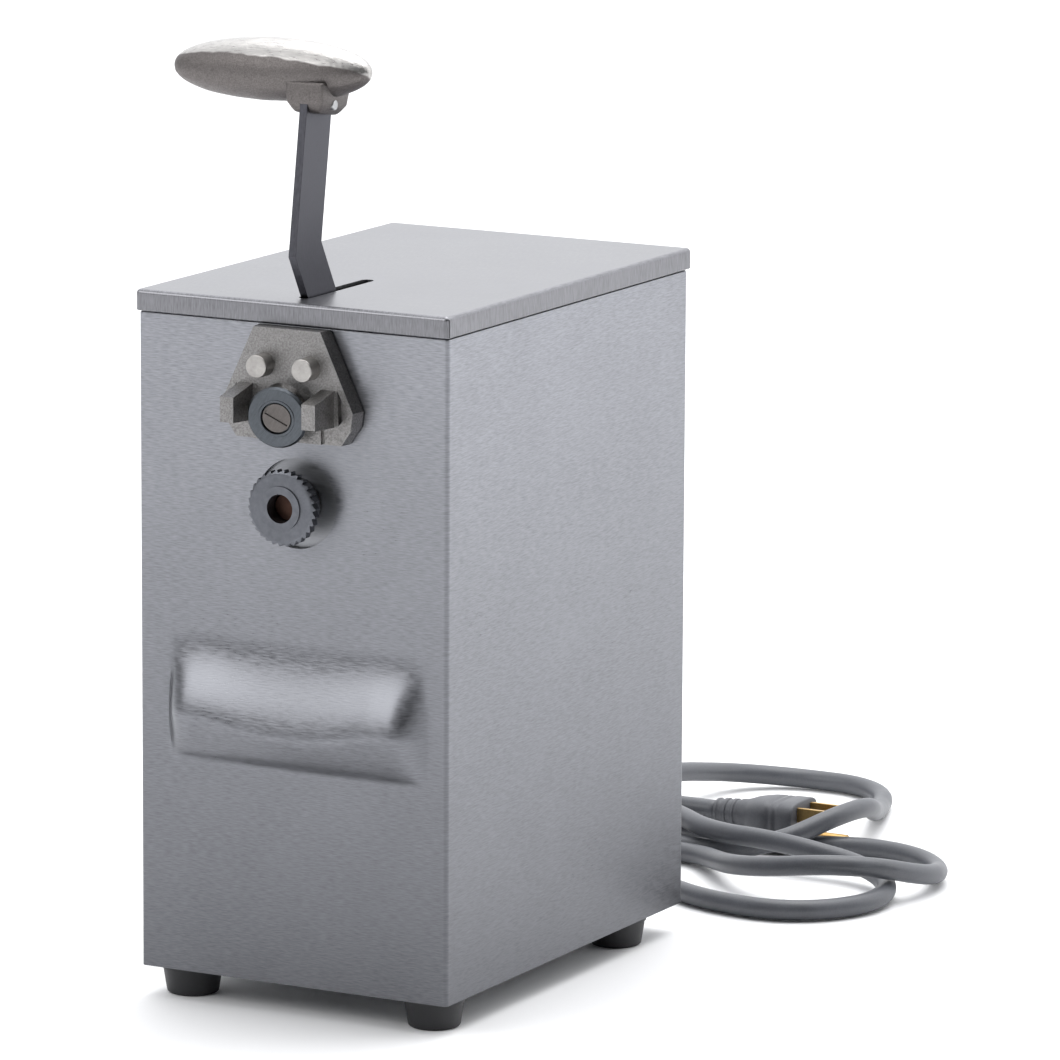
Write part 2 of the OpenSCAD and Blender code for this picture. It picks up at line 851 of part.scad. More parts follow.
module field_windings() {
    d1 = motor_d - 2 * rim_t - 2;
    color("#b5651d") for (y = [stack_y - 5, stack_end]) {
        difference() {
            ring_y([mech_x, y, motor_z], d1, bore_d + 3, 5);
            slab([mech_x - far, y - 1, motor_z - 5], [mech_x + far, y + 6, motor_z + 5]);
        }
    }
}

module front_end_bell() {
    y = cover_back;
    color("gray") difference() {
        union() {
            along_y([mech_x, y, motor_z], motor_d, bell_t);
            motor_tube(y, stack_y - y);
            along_y([mech_x, y, motor_z], bearing_d + 8, bearing_w + 3);
        }
        along_y([mech_x, y + 2, motor_z], bearing_d + 2 * seat, bearing_w + 2);
        along_y([mech_x, y - 1, motor_z], rotor_d + 4, 5);
        motor_bolt_holes();
        for (a = [0 : 60 : 359]) {
            translate([mech_x, 0, motor_z]) rotate([0, a, 0])
                along_y([(motor_d + bearing_d) / 4 + 1, y - 1, 0], 10, bell_t + 2);
        }
    }
}

module rear_end_bell() {
    color("gray") difference() {
        union() {
            motor_tube(stack_end, bell_end - stack_end);
            along_y([mech_x, bell_end - bell_t, motor_z], motor_d, bell_t);
            along_y([mech_x, bell_end - bell_t, motor_z], bearing_d + 8, bearing_w + 1.5);
        }
        along_y([mech_x, bell_end - bell_t - 1, motor_z], bearing_d + 2 * seat, bearing_w + 1);
        motor_bolt_holes();
        for (side = [-1, 1]) {
            brush_box(side, 0.1);
        }
        for (a = [30 : 60 : 359]) {
            translate([mech_x, 0, motor_z]) rotate([0, a, 0])
                along_y([(motor_d + bearing_d) / 4 + 1, bell_end - bell_t - 1, 0], 10, bell_t + 2);
        }
    }
}

commutator_d = 20;

module brush_box(side, gap) {
    x0 = commutator_d / 2 + 0.3;
    x1 = motor_d / 2 + 3;
    low = mech_x + (side > 0 ? x0 : -x1);
    slab([low, brush_y - gap, motor_z - 4 - gap], [low + x1 - x0, brush_y + brush_w + gap, motor_z + 4 + gap]);
}

module brush_holders() {
    color("#3a2a1a") for (side = [-1, 1]) {
        brush_box(side, 0);
    }
}

module motor_bearings() {
    color("lightgray") for (y = [cover_back + 2, bell_end - bell_t]) {
        ring_y([mech_x, y, motor_z], bearing_d, rotor_d + 2 * run, bearing_w - 1);
    }
}

module motor_bolts() {
    color("dimgray") for (p = motor_bolt_places) {
        along_y(p + [0, cover_y, 0], 4, bell_end - cover_y);
        along_y(p + [0, bell_end, 0], 7, 2);
    }
}

module rotor_shaft() {
    nose = cover_y - 2;
    color("gray") {
        along_y([mech_x, nose, motor_z], rotor_d, bell_end + 2 - nose);
        along_y([mech_x, fast_y - 1, motor_z], 5, nose - fast_y + 2);
    }
}

module rotor_core() {
    color("#8d8f92")
        ring_y([mech_x, stack_y, motor_z], bore_d - 2 * air_gap, rotor_d + 2 * seat, stack_l);
}

module commutator() {
    color("peru") ring_y([mech_x, brush_y - 1, motor_z], commutator_d, rotor_d + 2 * seat, brush_w + 2);
}

module cooling_fan() {
    y = stack_y - 12;
    color("#303236") difference() {
        union() {
            along_y([mech_x, y, motor_z], 18, 5);
            along_y([mech_x, y + 4, motor_z], motor_d - 2 * rim_t - 6, 1.2);
            for (a = [0 : 45 : 359]) {
                translate([mech_x, 0, motor_z]) rotate([0, a, 0])
                    slab([8, y, -0.8], [(motor_d - 2 * rim_t) / 2 - 4, y + 4.2, 0.8]);
            }
        }
        along_y([mech_x, y - 1, motor_z], rotor_d + 2 * seat, 8);
    }
}

// ---- handle ----

// Corner of a bent strip: the middle of the bend shifted to one side of the strip
function mitre(at, a, b, side) =
    let (n1 = [a[1], -a[0]], n2 = [b[1], -b[0]]) at + side * (n1 + n2) / (1 + n1 * n2);

module crank_bar() {
    pivot = [pivot_y, pivot_z];
    pin = [pin_y, pin_z];
    along = unit(pin - pivot);
    wide = [-along[1], along[0]] * 5.6;
    polygon([pivot + wide, pin + wide, pin - wide, pivot - wide]);
}

module arm_bar() {
    pivot = [pivot_y, pivot_z];
    low = [-sin(lean_low), cos(lean_low)];
    up = [sin(lean_up), cos(lean_up)];
    h = arm_w / 2;
    across_low = [low[1], -low[0]] * h;
    across_up = [up[1], -up[0]] * h;
    polygon([
        pivot + across_low, mitre(elbow, low, up, h), arm_top + across_up,
        arm_top - across_up, mitre(elbow, low, up, -h), pivot - across_low
    ]);
}

rivet_d = 4;
rivet_at = [knob_at[0] - 12 * sin(lean_up), knob_at[1] - 12 * cos(lean_up)];

module handle_arm() {
    color("gray") difference() {
        union() {
            yz_plate(arm_left, arm_t) arm_bar();
            yz_plate(arm_left, arm_t) crank_bar();
            along_x([arm_left, pivot_y, pivot_z], pivot_d + 12, arm_t);
            along_x([arm_left, pin_y, pin_z], pin_d + 7, arm_t);
        }
        along_x([arm_left - 1, pivot_y, pivot_z], pivot_d + 2 * seat, arm_t + 2);
        along_x([arm_left - 1, pin_y, pin_z], pin_d + 2 * seat, arm_t + 2);
        along_x([arm_left - 1, rivet_at[0], rivet_at[1]], rivet_d + 2 * seat, arm_t + 2);
    }
}

module spindle_2d() {
    steps = 18;
    polygon(concat([
        for (i = [0 : steps])
            let (a = 180 * i / steps) [knob_d / 2 * pow(sin(a), 0.92), -knob_l / 2 * cos(a)]
    ]));
}

module handle_knob() {
    color("lightgray") difference() {
        union() {
            translate([arm_x - knob_left, knob_at[0], knob_at[1]]) rotate([0, 90, 0])
                rotate_extrude($fn = 64) spindle_2d();
            translate([arm_x, knob_at[0], knob_at[1]]) rotate([-lean_up, 0, 0])
                slab([-8, -arm_w / 2 - 1.2, -16], [8.5, arm_w / 2 + 1.2, -4]);
        }
        translate([arm_x, knob_at[0], knob_at[1]]) rotate([-lean_up, 0, 0])
            slab([-arm_t / 2 - seat, -arm_w / 2 - seat, -30], [arm_t / 2 + seat, arm_w / 2 + seat, -6 + seat]);
        along_x([arm_x - 12, rivet_at[0], rivet_at[1]], rivet_d + 2 * seat, 24);
    }
}

module knob_rivet() {
    color("silver") along_x([arm_x - 8, rivet_at[0], rivet_at[1]], rivet_d, 16.5);
}

module pivot_shaft() {
    color("gray") along_x([mech_x - frame_w / 2 - 4, pivot_y, pivot_z], pivot_d, frame_w + 8);
}

module arm_hub() {
    rise = cam_rise / swing;
    color("dimgray") difference() {
        union() {
            along_x([arm_left - 17, pivot_y, pivot_z], 20, 17);
            yz_plate(cam_x, cam_w) translate([pivot_y, pivot_z]) polygon(concat(
                [[0, 0]],
                [for (b = [-8 : 2 : swing + 8])
                    let (r = cam_r + rise * min(max(b, 0), swing)) [-r * cos(b), -r * sin(b)]]
            ));
        }
        along_x([arm_left - 20, pivot_y, pivot_z], pivot_d + 2 * seat, 24);
    }
}

module crank_pin() {
    color("silver") {
        along_x([arm_left, pin_y, pin_z], pin_d, arm_t + play + yoke_t + 1);
        along_x([yoke_x + yoke_t + 0.4, pin_y, pin_z], pin_d + 2.5, 1.6);
    }
}

module pivot_rings() {
    color("dimgray") for (side = [-1, 1]) {
        x = mech_x + side * (frame_w / 2 + 1.2) - 0.6;
        difference() {
            along_x([x, pivot_y, pivot_z], pivot_d + 6, 1.2);
            along_x([x - 1, pivot_y, pivot_z], pivot_d + 2 * seat, 4);
        }
    }
}

// ---- knife carriage ----

plate_top = shell_top - 0.3;
widest_z = shell_top - 30.4;
band_z = shell_top - 36.3;
plate_low = shell_top - 43.5;
guide_in = 14.9;
guide_w = 5.9;

module plate_outline(grow) {
    polygon([
        for (p = [
            [14.6, plate_top], [28.8, widest_z], [28, band_z], [22.9, plate_low],
            [-22.9, plate_low], [-28, band_z], [-28.8, widest_z], [-14.6, plate_top]
        ]) [mech_x + p[0] + sign(p[0]) * grow, p[1]]
    ]);
}

module at_knife() {
    translate([knife_x, front_y - knife_proud, knife_z]) rotate([90 + knife_pitch, 0, knife_yaw]) children();
}

module knife_plate() {
    root = front_y - plate_front + 0.5;
    front = front_y - lug_proud;
    color("darkgray") difference() {
        union() {
            hull() {
                xz_plate(front_y - plate_gap - 0.1, 0.1) plate_outline(1);
                xz_plate(front_y - plate_front, 0.1) plate_outline(0);
            }
            for (side = [-1, 1]) {
                x = mech_x + side * (guide_in + guide_w / 2) - guide_w / 2;
                yz_plate(x, guide_w) polygon([
                    [root, shell_top - 22.1], [front, shell_top - 25.7],
                    [front, shell_top - 35.5], [root, shell_top - 36.4]
                ]);
            }
            at_knife() translate([0, 0, -knife_t - 0.4 - 8.6]) cylinder(r1 = 11, r2 = 8, h = 8.6);
        }
        along_y([mech_x, front_y - lug_proud, feed_z + travel], wheel_d + 1.6, lug_proud - plate_front);
        slab([mech_x - 40, front_y - plate_front - 1, plate_low - 1],
             [mech_x - guide_in, front_y - plate_front + 1.3, band_z - 0.4]);
        slab([mech_x + guide_in, front_y - plate_front - 1, plate_low - 1],
             [mech_x + 40, front_y - plate_front + 1.3, band_z - 0.4]);
        for (side = [-1, 1]) {
            along_y([mech_x + side * stud_gap / 2, front_y - 20, stud_z], stud_d + 2 * seat, 21);
            xz_plate(front_y - plate_front - 1, 3.6) polygon([
                for (p = [[22, shell_top - 22.2], [26.6, shell_top - 30.8], [22.6, shell_top - 35.6]])
                    [mech_x + side * p[0], p[1]]
            ]);
        }
        at_knife() translate([0, 0, -knife_t - 8]) cylinder(d = 5, h = 9);
        slab([mech_x - 40, front_y - plate_gap, plate_low - 5], [mech_x + 40, front_y + 10, plate_top + 5]);
    }
}

module guide_studs() {
    y = front_y - 13.7;
    color("silver") for (side = [-1, 1]) {
        along_y([mech_x + side * stud_gap / 2, y, stud_z], stud_d, block_y + block_t - y);
    }
}

module slide_block() {
    x0 = mech_x - block_w / 2;
    x1 = mech_x + block_w / 2;
    mid = block_y + block_t / 2;
    color("gray") difference() {
        slab([x0, block_y, block_low], [x1, block_y + block_t, block_low + block_h]);
        for (x = [x0 - 1, x1 - groove]) {
            slab([x, mid - tongue_w / 2 - 0.1, block_low - 1],
                 [x + groove + 1, mid + tongue_w / 2 + 0.1, block_low + block_h + 1]);
        }
        for (side = [-1, 1]) {
            along_y([mech_x + side * stud_gap / 2, block_y - 1, stud_z], stud_d + 2 * seat, block_t + 2);
            along_z([mech_x + side * spring_gap / 2, block_y + 4.5, block_low - 1], 8.4,
                    spring_top - block_low + 1.3);
        }
        for (p = yoke_screw_places) {
            along_y(p - [0, 9, 0], 3.1, 10);
        }
    }
}

yoke_front = block_y + block_t;
yoke_screw_places = [
    for (z = [block_low + 6, block_low + 14]) [yoke_x + yoke_t + 3.4, yoke_front, z]
];

module lift_yoke() {
    low = pivot_z - 7;
    high = pivot_z + pivot_d / 2 + travel + 7;
    pin_far = pivot_y + crank_r;
    color("slategray") difference() {
        union() {
            yz_plate(yoke_x, yoke_t) difference() {
                translate([yoke_front, low]) square([pin_far + 8.5 - yoke_front, high - low]);
                translate([pivot_y - pivot_d / 2 - play, low - 1])
                    square([pivot_d + 2 * play, pivot_z - low + travel + pivot_d / 2 + play + 1]);
                slot_2d([pin_y, pin_z], [pin_far, pin_z], pin_d + 0.2);
            }
            slab([yoke_x, yoke_front, block_low + 1], [yoke_x + yoke_t + 10, yoke_front + 3, block_low + 22]);
        }
        for (p = yoke_screw_places) {
            along_y(p - [0, 1, 0], 3.3, 6);
        }
    }
}

module yoke_screws() {
    color("dimgray") for (p = yoke_screw_places) {
        translate(p + [0, 3, 0]) rotate([0, 0, 180]) screw_y([0, 0, 0], 3, 11, 5.5, 2);
    }
}

module knife_screw() {
    color("#6b5f57") at_knife() difference() {
        union() {
            translate([0, 0, -1.3]) cylinder(r = 5.7, h = 1);
            translate([0, 0, -knife_t - 0.3]) cylinder(r = 4, h = knife_t - 0.8);
            translate([0, 0, -knife_t - 7.5]) cylinder(d = 4.9, h = 8);
        }
        rotate(-28) translate([-5, -0.65, -0.9]) cube([10, 1.3, 2]);
    }
}

module knife_wheel() {
    r = knife_d / 2;
    t = knife_t;
    color("#4c5054") at_knife() rotate_extrude($fn = 96) polygon([
        [4 + run, -t], [r - 3.1, -t], [r, -0.62 * t], [r - 0.9, -0.1], [7.3, 0], [7.2, 0.3], [6.3, 0.3],
        [6, -0.4], [6, -1.4], [4 + run, -1.4]
    ]);
}

// ---- switch ----

switch_x = cam_x + cam_w / 2;

module switch_body() {
    color("#202022") difference() {
        slab([switch_x - 8, switch_face - 17, pivot_z - 8], [switch_x + 6, switch_face, pivot_z + 8]);
        along_y([switch_x, switch_face - 15.5, pivot_z], switch_d + 2 * run + 0.1, 17);
    }
}

module switch_bracket() {
    color("lightgray")
        slab([mech_x - frame_gap / 2, switch_face - 15, pivot_z - 6], [switch_x - 8, switch_face - 3, pivot_z + 6]);
}

module switch_plunger() {
    tip = pivot_y - cam_r - switch_gap;
    color("firebrick") along_y([switch_x, switch_face - 13, pivot_z], switch_d, tip - switch_face + 13);
}

shell();
lid();
base_plate();
back_panel();
back_screws();
lid_screws();
feet();
foot_screws();
strain_relief();
power_cord();
plug_body();
plug_blades();
plug_ground_pin();
terminal_block();
main_frame();
frame_screws();
gearbox_cover();
gearbox_screws();
slide_gibs();
gib_screws();
return_springs();
pivot_bushes();
feed_bush_front();
feed_bush_rear();
idler_bushes();
stator_core();
field_windings();
front_end_bell();
rear_end_bell();
motor_bearings();
brush_holders();
motor_bolts();
rotor_shaft();
rotor_core();
commutator();
cooling_fan();
motor_pinion();
idler_shaft();
cluster_gear();
feed_shaft();
feed_wheel();
output_gear();
handle_arm();
handle_knob();
knob_rivet();
pivot_shaft();
arm_hub();
crank_pin();
pivot_rings();
knife_plate();
guide_studs();
slide_block();
lift_yoke();
yoke_screws();
knife_screw();
knife_wheel();
switch_body();
switch_bracket();
switch_plunger();
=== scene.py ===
import math

import bmesh
import bpy
from mathutils import Matrix, Vector, noise


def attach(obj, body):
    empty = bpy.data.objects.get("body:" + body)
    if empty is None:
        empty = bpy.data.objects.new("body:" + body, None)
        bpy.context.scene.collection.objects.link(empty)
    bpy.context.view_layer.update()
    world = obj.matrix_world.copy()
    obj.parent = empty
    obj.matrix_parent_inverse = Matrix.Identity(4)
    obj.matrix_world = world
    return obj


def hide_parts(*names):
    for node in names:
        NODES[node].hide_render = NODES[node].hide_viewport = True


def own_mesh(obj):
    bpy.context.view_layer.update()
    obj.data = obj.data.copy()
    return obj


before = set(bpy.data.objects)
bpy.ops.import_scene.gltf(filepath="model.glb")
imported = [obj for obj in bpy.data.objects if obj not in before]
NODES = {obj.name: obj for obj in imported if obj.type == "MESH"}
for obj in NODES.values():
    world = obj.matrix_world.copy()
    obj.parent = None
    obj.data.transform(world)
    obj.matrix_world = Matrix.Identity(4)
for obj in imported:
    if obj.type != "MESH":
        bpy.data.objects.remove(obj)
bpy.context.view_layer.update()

MM = 0.001
TAU = 2 * math.pi

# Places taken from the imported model, in metres
FRONT = -0.0889
REAR = 0.1085
FOOT_H = 0.012
SHELL_TOP = 0.2702
LID_BOTTOM = 0.2707
LID_TOP = 0.279
HALF_W = 0.068
BEND = 0.0018
SHEET = 0.0012
MECH_X = 0.002
FEED_Z = 0.2015
ARM_X = -0.0015
RELIEF_TIP = Vector((-0.045, 0.1405, 0.036))
PLUG = Vector((0.0, 0.2725, 0.0092))
CORD_D = 0.0084
KNOB_AT = Vector((ARM_X, -0.06598, 0.36427))
KNOB_CENTRE = Vector((ARM_X - 0.02, -0.06598, 0.36427))
WHEEL_HOLE_R = 0.0175
STUD_OFFSET = 0.00995
STUD_SLOT_Z = (0.2436, 0.2561)
STUD_SLOT_R = 0.0055
ARM_SLOT_Y = (-0.0757, -0.0285)
ARM_SLOT_R = 0.0026
LID_SCREW_X = 0.046
LID_SCREW_Z = LID_BOTTOM + 0.004
BACK_SCREW_X = 0.0618
BACK_SCREW_Z = (0.026, 0.1411, 0.2502)
FOOT_X = 0.054
FOOT_Y = (FRONT + 0.0156, REAR - 0.032)
WELD_GAP = 0.00001


# ---- camera ----

def make_camera():
    data = bpy.data.cameras.new("camera")
    data.sensor_width = 36
    data.lens = 259.04
    data.clip_start = 0.1
    data.clip_end = 60
    cam = bpy.data.objects.new("camera", data)
    bpy.context.scene.collection.objects.link(cam)
    turn, rise, roll = math.radians(28.37), math.radians(10.86), math.radians(0.29)
    level = math.cos(rise)
    back = Vector((math.sin(turn) * level, -math.cos(turn) * level, math.sin(rise)))
    tilt = Matrix.Rotation(roll, 3, "Z").to_quaternion()
    cam.rotation_mode = "QUATERNION"
    cam.rotation_quaternion = (-back).to_track_quat("-Z", "Y") @ tilt
    cam.location = (1.4378, -2.5603, 0.7398)
    bpy.context.scene.camera = cam


make_camera()


# ---- mesh helpers ----

def add(name, verts, faces, body="root", smooth=True):
    mesh = bpy.data.meshes.new(name)
    mesh.from_pydata([tuple(v) for v in verts], [], faces)
    mesh.update()
    obj = bpy.data.objects.new(name, mesh)
    bpy.context.scene.collection.objects.link(obj)
    if smooth:
        mesh.shade_smooth()
    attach(obj, body)
    return obj


def ring_faces(n, rings, flip=False, caps=True):
    """Quads between rings of n points each, and a face over each end."""
    faces = []
    for j in range(rings - 1):
        for i in range(n):
            a, b = j * n + i, j * n + (i + 1) % n
            faces.append([a, a + n, b + n, b] if flip else [a, b, b + n, a + n])
    if caps:
        ends = [list(range(n))[::-1], list(range((rings - 1) * n, rings * n))]
        faces += [end[::-1] for end in ends] if flip else ends
    return faces


def apply_modifiers(obj):
    deps = bpy.context.evaluated_depsgraph_get()
    mesh = bpy.data.meshes.new_from_object(obj.evaluated_get(deps))
    obj.modifiers.clear()
    old = obj.data
    obj.data = mesh
    bpy.data.meshes.remove(old)


def cut(obj, cutters, own_folds=False):
    for cutter in cutters:
        mod = obj.modifiers.new("cut", "BOOLEAN")
        mod.object = cutter
        mod.operation = "DIFFERENCE"
        mod.solver = "EXACT"
        mod.use_self = own_folds
    apply_modifiers(obj)
    for cutter in cutters:
        bpy.data.objects.remove(cutter)


def solid(verts, faces):
    mesh = bpy.data.meshes.new("cutter")
    mesh.from_pydata([tuple(v) for v in verts], [], faces)
    obj = bpy.data.objects.new("cutter", mesh)
    bpy.context.scene.collection.objects.link(obj)
    bm = bmesh.new()
    bm.from_mesh(mesh)
    bmesh.ops.recalc_face_normals(bm, faces=bm.faces)
    bm.to_mesh(mesh)
    bm.free()
    return obj


def prism(outline, along, start, end):
    """A closed prism of a 2D outline, pushed along one axis."""
    other = [a for a in range(3) if a != along]
    verts = []
    for level in (start, end):
        for p in outline:
            v = [0, 0, 0]
            v[along] = level
            v[other[0]], v[other[1]] = p
            verts.append(v)
    n = len(outline)
    faces = [list(range(n))[::-1], list(range(n, 2 * n))]
    faces += [[i, (i + 1) % n, n + (i + 1) % n, n + i] for i in range(n)]
    return verts, faces


def stadium(a, b, r, n=16):
    """Outline of a slot from a to b in 2D, with round ends."""
    a, b = Vector(a), Vector(b)
    base = math.atan2(b.y - a.y, b.x - a.x)
    points = []
    for centre, start in ((b, base - math.pi / 2), (a, base + math.pi / 2)):
        for i in range(n + 1):
            t = start + math.pi * i / n
            points.append((centre.x + r * math.cos(t), centre.y + r * math.sin(t)))
    return points


def circle(c, r, n=64):
    return [(c[0] + r * math.cos(TAU * i / n), c[1] + r * math.sin(TAU * i / n)) for i in range(n)]


def lathe(name, profile, at, axis, body="root", n=64):
    """Turned piece: profile is (radius, place along the axis)."""
    axis = Vector(axis).normalized()
    side = axis.orthogonal().normalized()
    other = axis.cross(side)
    verts = []
    for r, h in profile:
        for i in range(n):
            t = TAU * i / n
            verts.append(Vector(at) + axis * h + side * (r * math.cos(t)) + other * (r * math.sin(t)))
    return add(name, verts, ring_faces(n, len(profile)), body)


def worked_edge(obj, width, segments=2, angle=30, dissolve=False):
    """Small rounded edge on a machined or cast piece."""
    weld = obj.modifiers.new("weld", "WELD")
    weld.merge_threshold = WELD_GAP
    if dissolve:
        flat = obj.modifiers.new("flat", "DECIMATE")
        flat.decimate_type = "DISSOLVE"
        flat.angle_limit = math.radians(0.5)
    bevel = obj.modifiers.new("edge", "BEVEL")
    bevel.width = width
    bevel.segments = segments
    bevel.limit_method = "ANGLE"
    bevel.angle_limit = math.radians(angle)


def smooth_by_angle(mesh, angle):
    mesh.shade_smooth()
    mesh.set_sharp_from_angle(angle=math.radians(angle))


def even_normals(obj, angle=32):
    """Lets the large flat faces set the normals round them, so that cut sheets shade evenly."""
    smooth_by_angle(obj.data, angle)
    mod = obj.modifiers.new("normals", "WEIGHTED_NORMAL")
    mod.keep_sharp = True
    mod.weight = 100


# ---- cord ----

ROUTE = [
    (-45, 0, 36), (-45, 21, 36), (-45, 57, 13.6), (-42, 141, 20), (-29, 225, 4.3), (36, 225, 4.3),
    (54, 175, 4.3), (71, 131, 21), (41, 85, 4.3), (-11, 85, 4.3), (-57, 48, 4.3), (-97, 63, 4.3),
    (-101, 107, 4.3), (-63, 128, 4.3), (-20, 102, 4.3), (28, 102, 4.3), (94, 126, 4.3), (134, 84, 4.3),
    (113, 31, 20), (62, 31, 12), (20, 74, 4.3), (-10, 74, 4.3), (-55, 33, 4.3), (-112, 56, 4.3),
    (-112, 116, 4.3), (-56, 142, 4.3), (-8, 103, 14.4), (23, 79, 13.4), (56, 77, 13.4), (104, 76, 7),
    (127, 39, 4.3), (104, 1, 4.3), (64, 1, 4.3), (8, 31, 4.3), (-104, 28, 4.3), (-137, 94, 4.3),
    (-88, 153, 4.3), (-22, 132, 9.2), (0, 132, 9.2),
]


def cord_line(steps):
    """The route with each corner rounded by an arc tangent to both of its legs."""
    pts = [Vector((x, y + 140.5, z)) * MM for x, y, z in ROUTE]
    line = [pts[0]]
    last = len(pts) - 1
    for i in range(1, last):
        u, v = pts[i - 1] - pts[i], pts[i + 1] - pts[i]
        leg = min(u.length / (1 if i == 1 else 2), v.length / (1 if i == last - 1 else 2))
        u.normalize()
        v.normalize()
        half = u.angle(v) / 2
        r = leg * math.tan(half)
        across = (v - u).normalized()
        inward = (u + v).normalized()
        for k in range(steps):
            turn = (math.pi / 2 - half) * ((2 * k + 1) / steps - 1)
            reach = (1 / math.sin(half) - math.cos(turn)) * inward
            line.append(pts[i] + r * (reach + math.sin(turn) * across))
    line.append(pts[last])
    return line


def make_cord():
    line = cord_line(9)
    sides = 24
    verts = []
    up = Vector((0, 0, 1))
    for i, p in enumerate(line):
        heading = (line[min(i + 1, len(line) - 1)] - line[max(i - 1, 0)]).normalized()
        side = heading.cross(up).normalized()
        top = side.cross(heading)
        for k in range(sides):
            t = TAU * k / sides
            verts.append(p + (math.cos(t) * side + math.sin(t) * top) * CORD_D / 2)
    cord = add("cord", verts, ring_faces(sides, len(line), flip=True))
    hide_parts("power_cord")
    length = sum((b - a).length for a, b in zip(line, line[1:]))
    return cord, line, length


def loft(name, sections):
    """Sections are (x, half_y, half_z, squareness), on the plug's axis."""
    n = 48
    verts = []
    for x, hy, hz, sq in sections:
        for i in range(n):
            t = TAU * i / n
            c, s = math.cos(t), math.sin(t)
            verts.append((
                x,
                PLUG.y + hy * math.copysign(abs(c) ** sq, c),
                PLUG.z + hz * math.copysign(abs(s) ** sq, s),
            ))
    return add(name, verts, ring_faces(n, len(sections)))


def make_plug():
    tail = [(0, 5.2), (1.2, 5.5), (1.6, 5.1), (3.4, 5.1), (3.8, 5.7), (5.4, 5.8), (5.8, 5.3),
            (7.4, 5.4), (7.8, 5.95), (9.4, 6.05), (9.8, 5.6), (11.4, 5.7), (11.8, 6.2),
            (13.6, 6.4), (15.2, 6.7)]
    rows = [(PLUG.x + a * MM, r * MM, r * MM, 1.0) for a, r in tail]
    body = [(17, 8, 7.3, 0.9), (19, 9.6, 8, 0.8), (22, 11, 8.5, 0.7), (25, 12, 8.8, 0.6),
            (28.6, 12.5, 8.9, 0.55), (29.2, 12.1, 8.5, 0.55), (30.2, 12.1, 8.5, 0.55),
            (30.8, 12.6, 8.9, 0.55), (31.8, 12.6, 8.9, 0.55), (32.4, 12.2, 8.5, 0.55),
            (33.4, 12.2, 8.5, 0.55), (34, 12.7, 9, 0.52), (40.2, 13, 9, 0.5),
            (40.8, 12.8, 8.8, 0.5), (41, 12.3, 8.4, 0.5)]
    rows += [(PLUG.x + a * MM, hy * MM, hz * MM, sq) for a, hy, hz, sq in body]
    plug = loft("plug", rows)
    smooth_by_angle(plug.data, 50)
    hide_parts("plug_body")
    return plug


def make_relief():
    profile = [(7.6, -5.8), (7.6, 0), (10.2, 0), (10.5, 0.3), (10.5, 1.7), (10.1, 2.2), (7.4, 2.4)]
    rings = 7
    for k in range(rings):
        h = 3.4 + k * 3.6
        r = 7.2 - 0.24 * k
        profile += [(r, h), (r, h + 2.3), (r - 0.8, h + 2.6), (r - 0.85, h + 3.3)]
    profile += [(5.45, 30), (5.4, 31.4), (5, 32)]
    relief = lathe("cord_relief", [(r * MM, h * MM) for r, h in profile],
                   (RELIEF_TIP.x, REAR, RELIEF_TIP.z), (0, 1, 0))
    smooth_by_angle(relief.data, 40)
    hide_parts("strain_relief")
    return relief


cord, cord_path, cord_length = make_cord()
plug = make_plug()
relief = make_relief()


# ---- materials ----

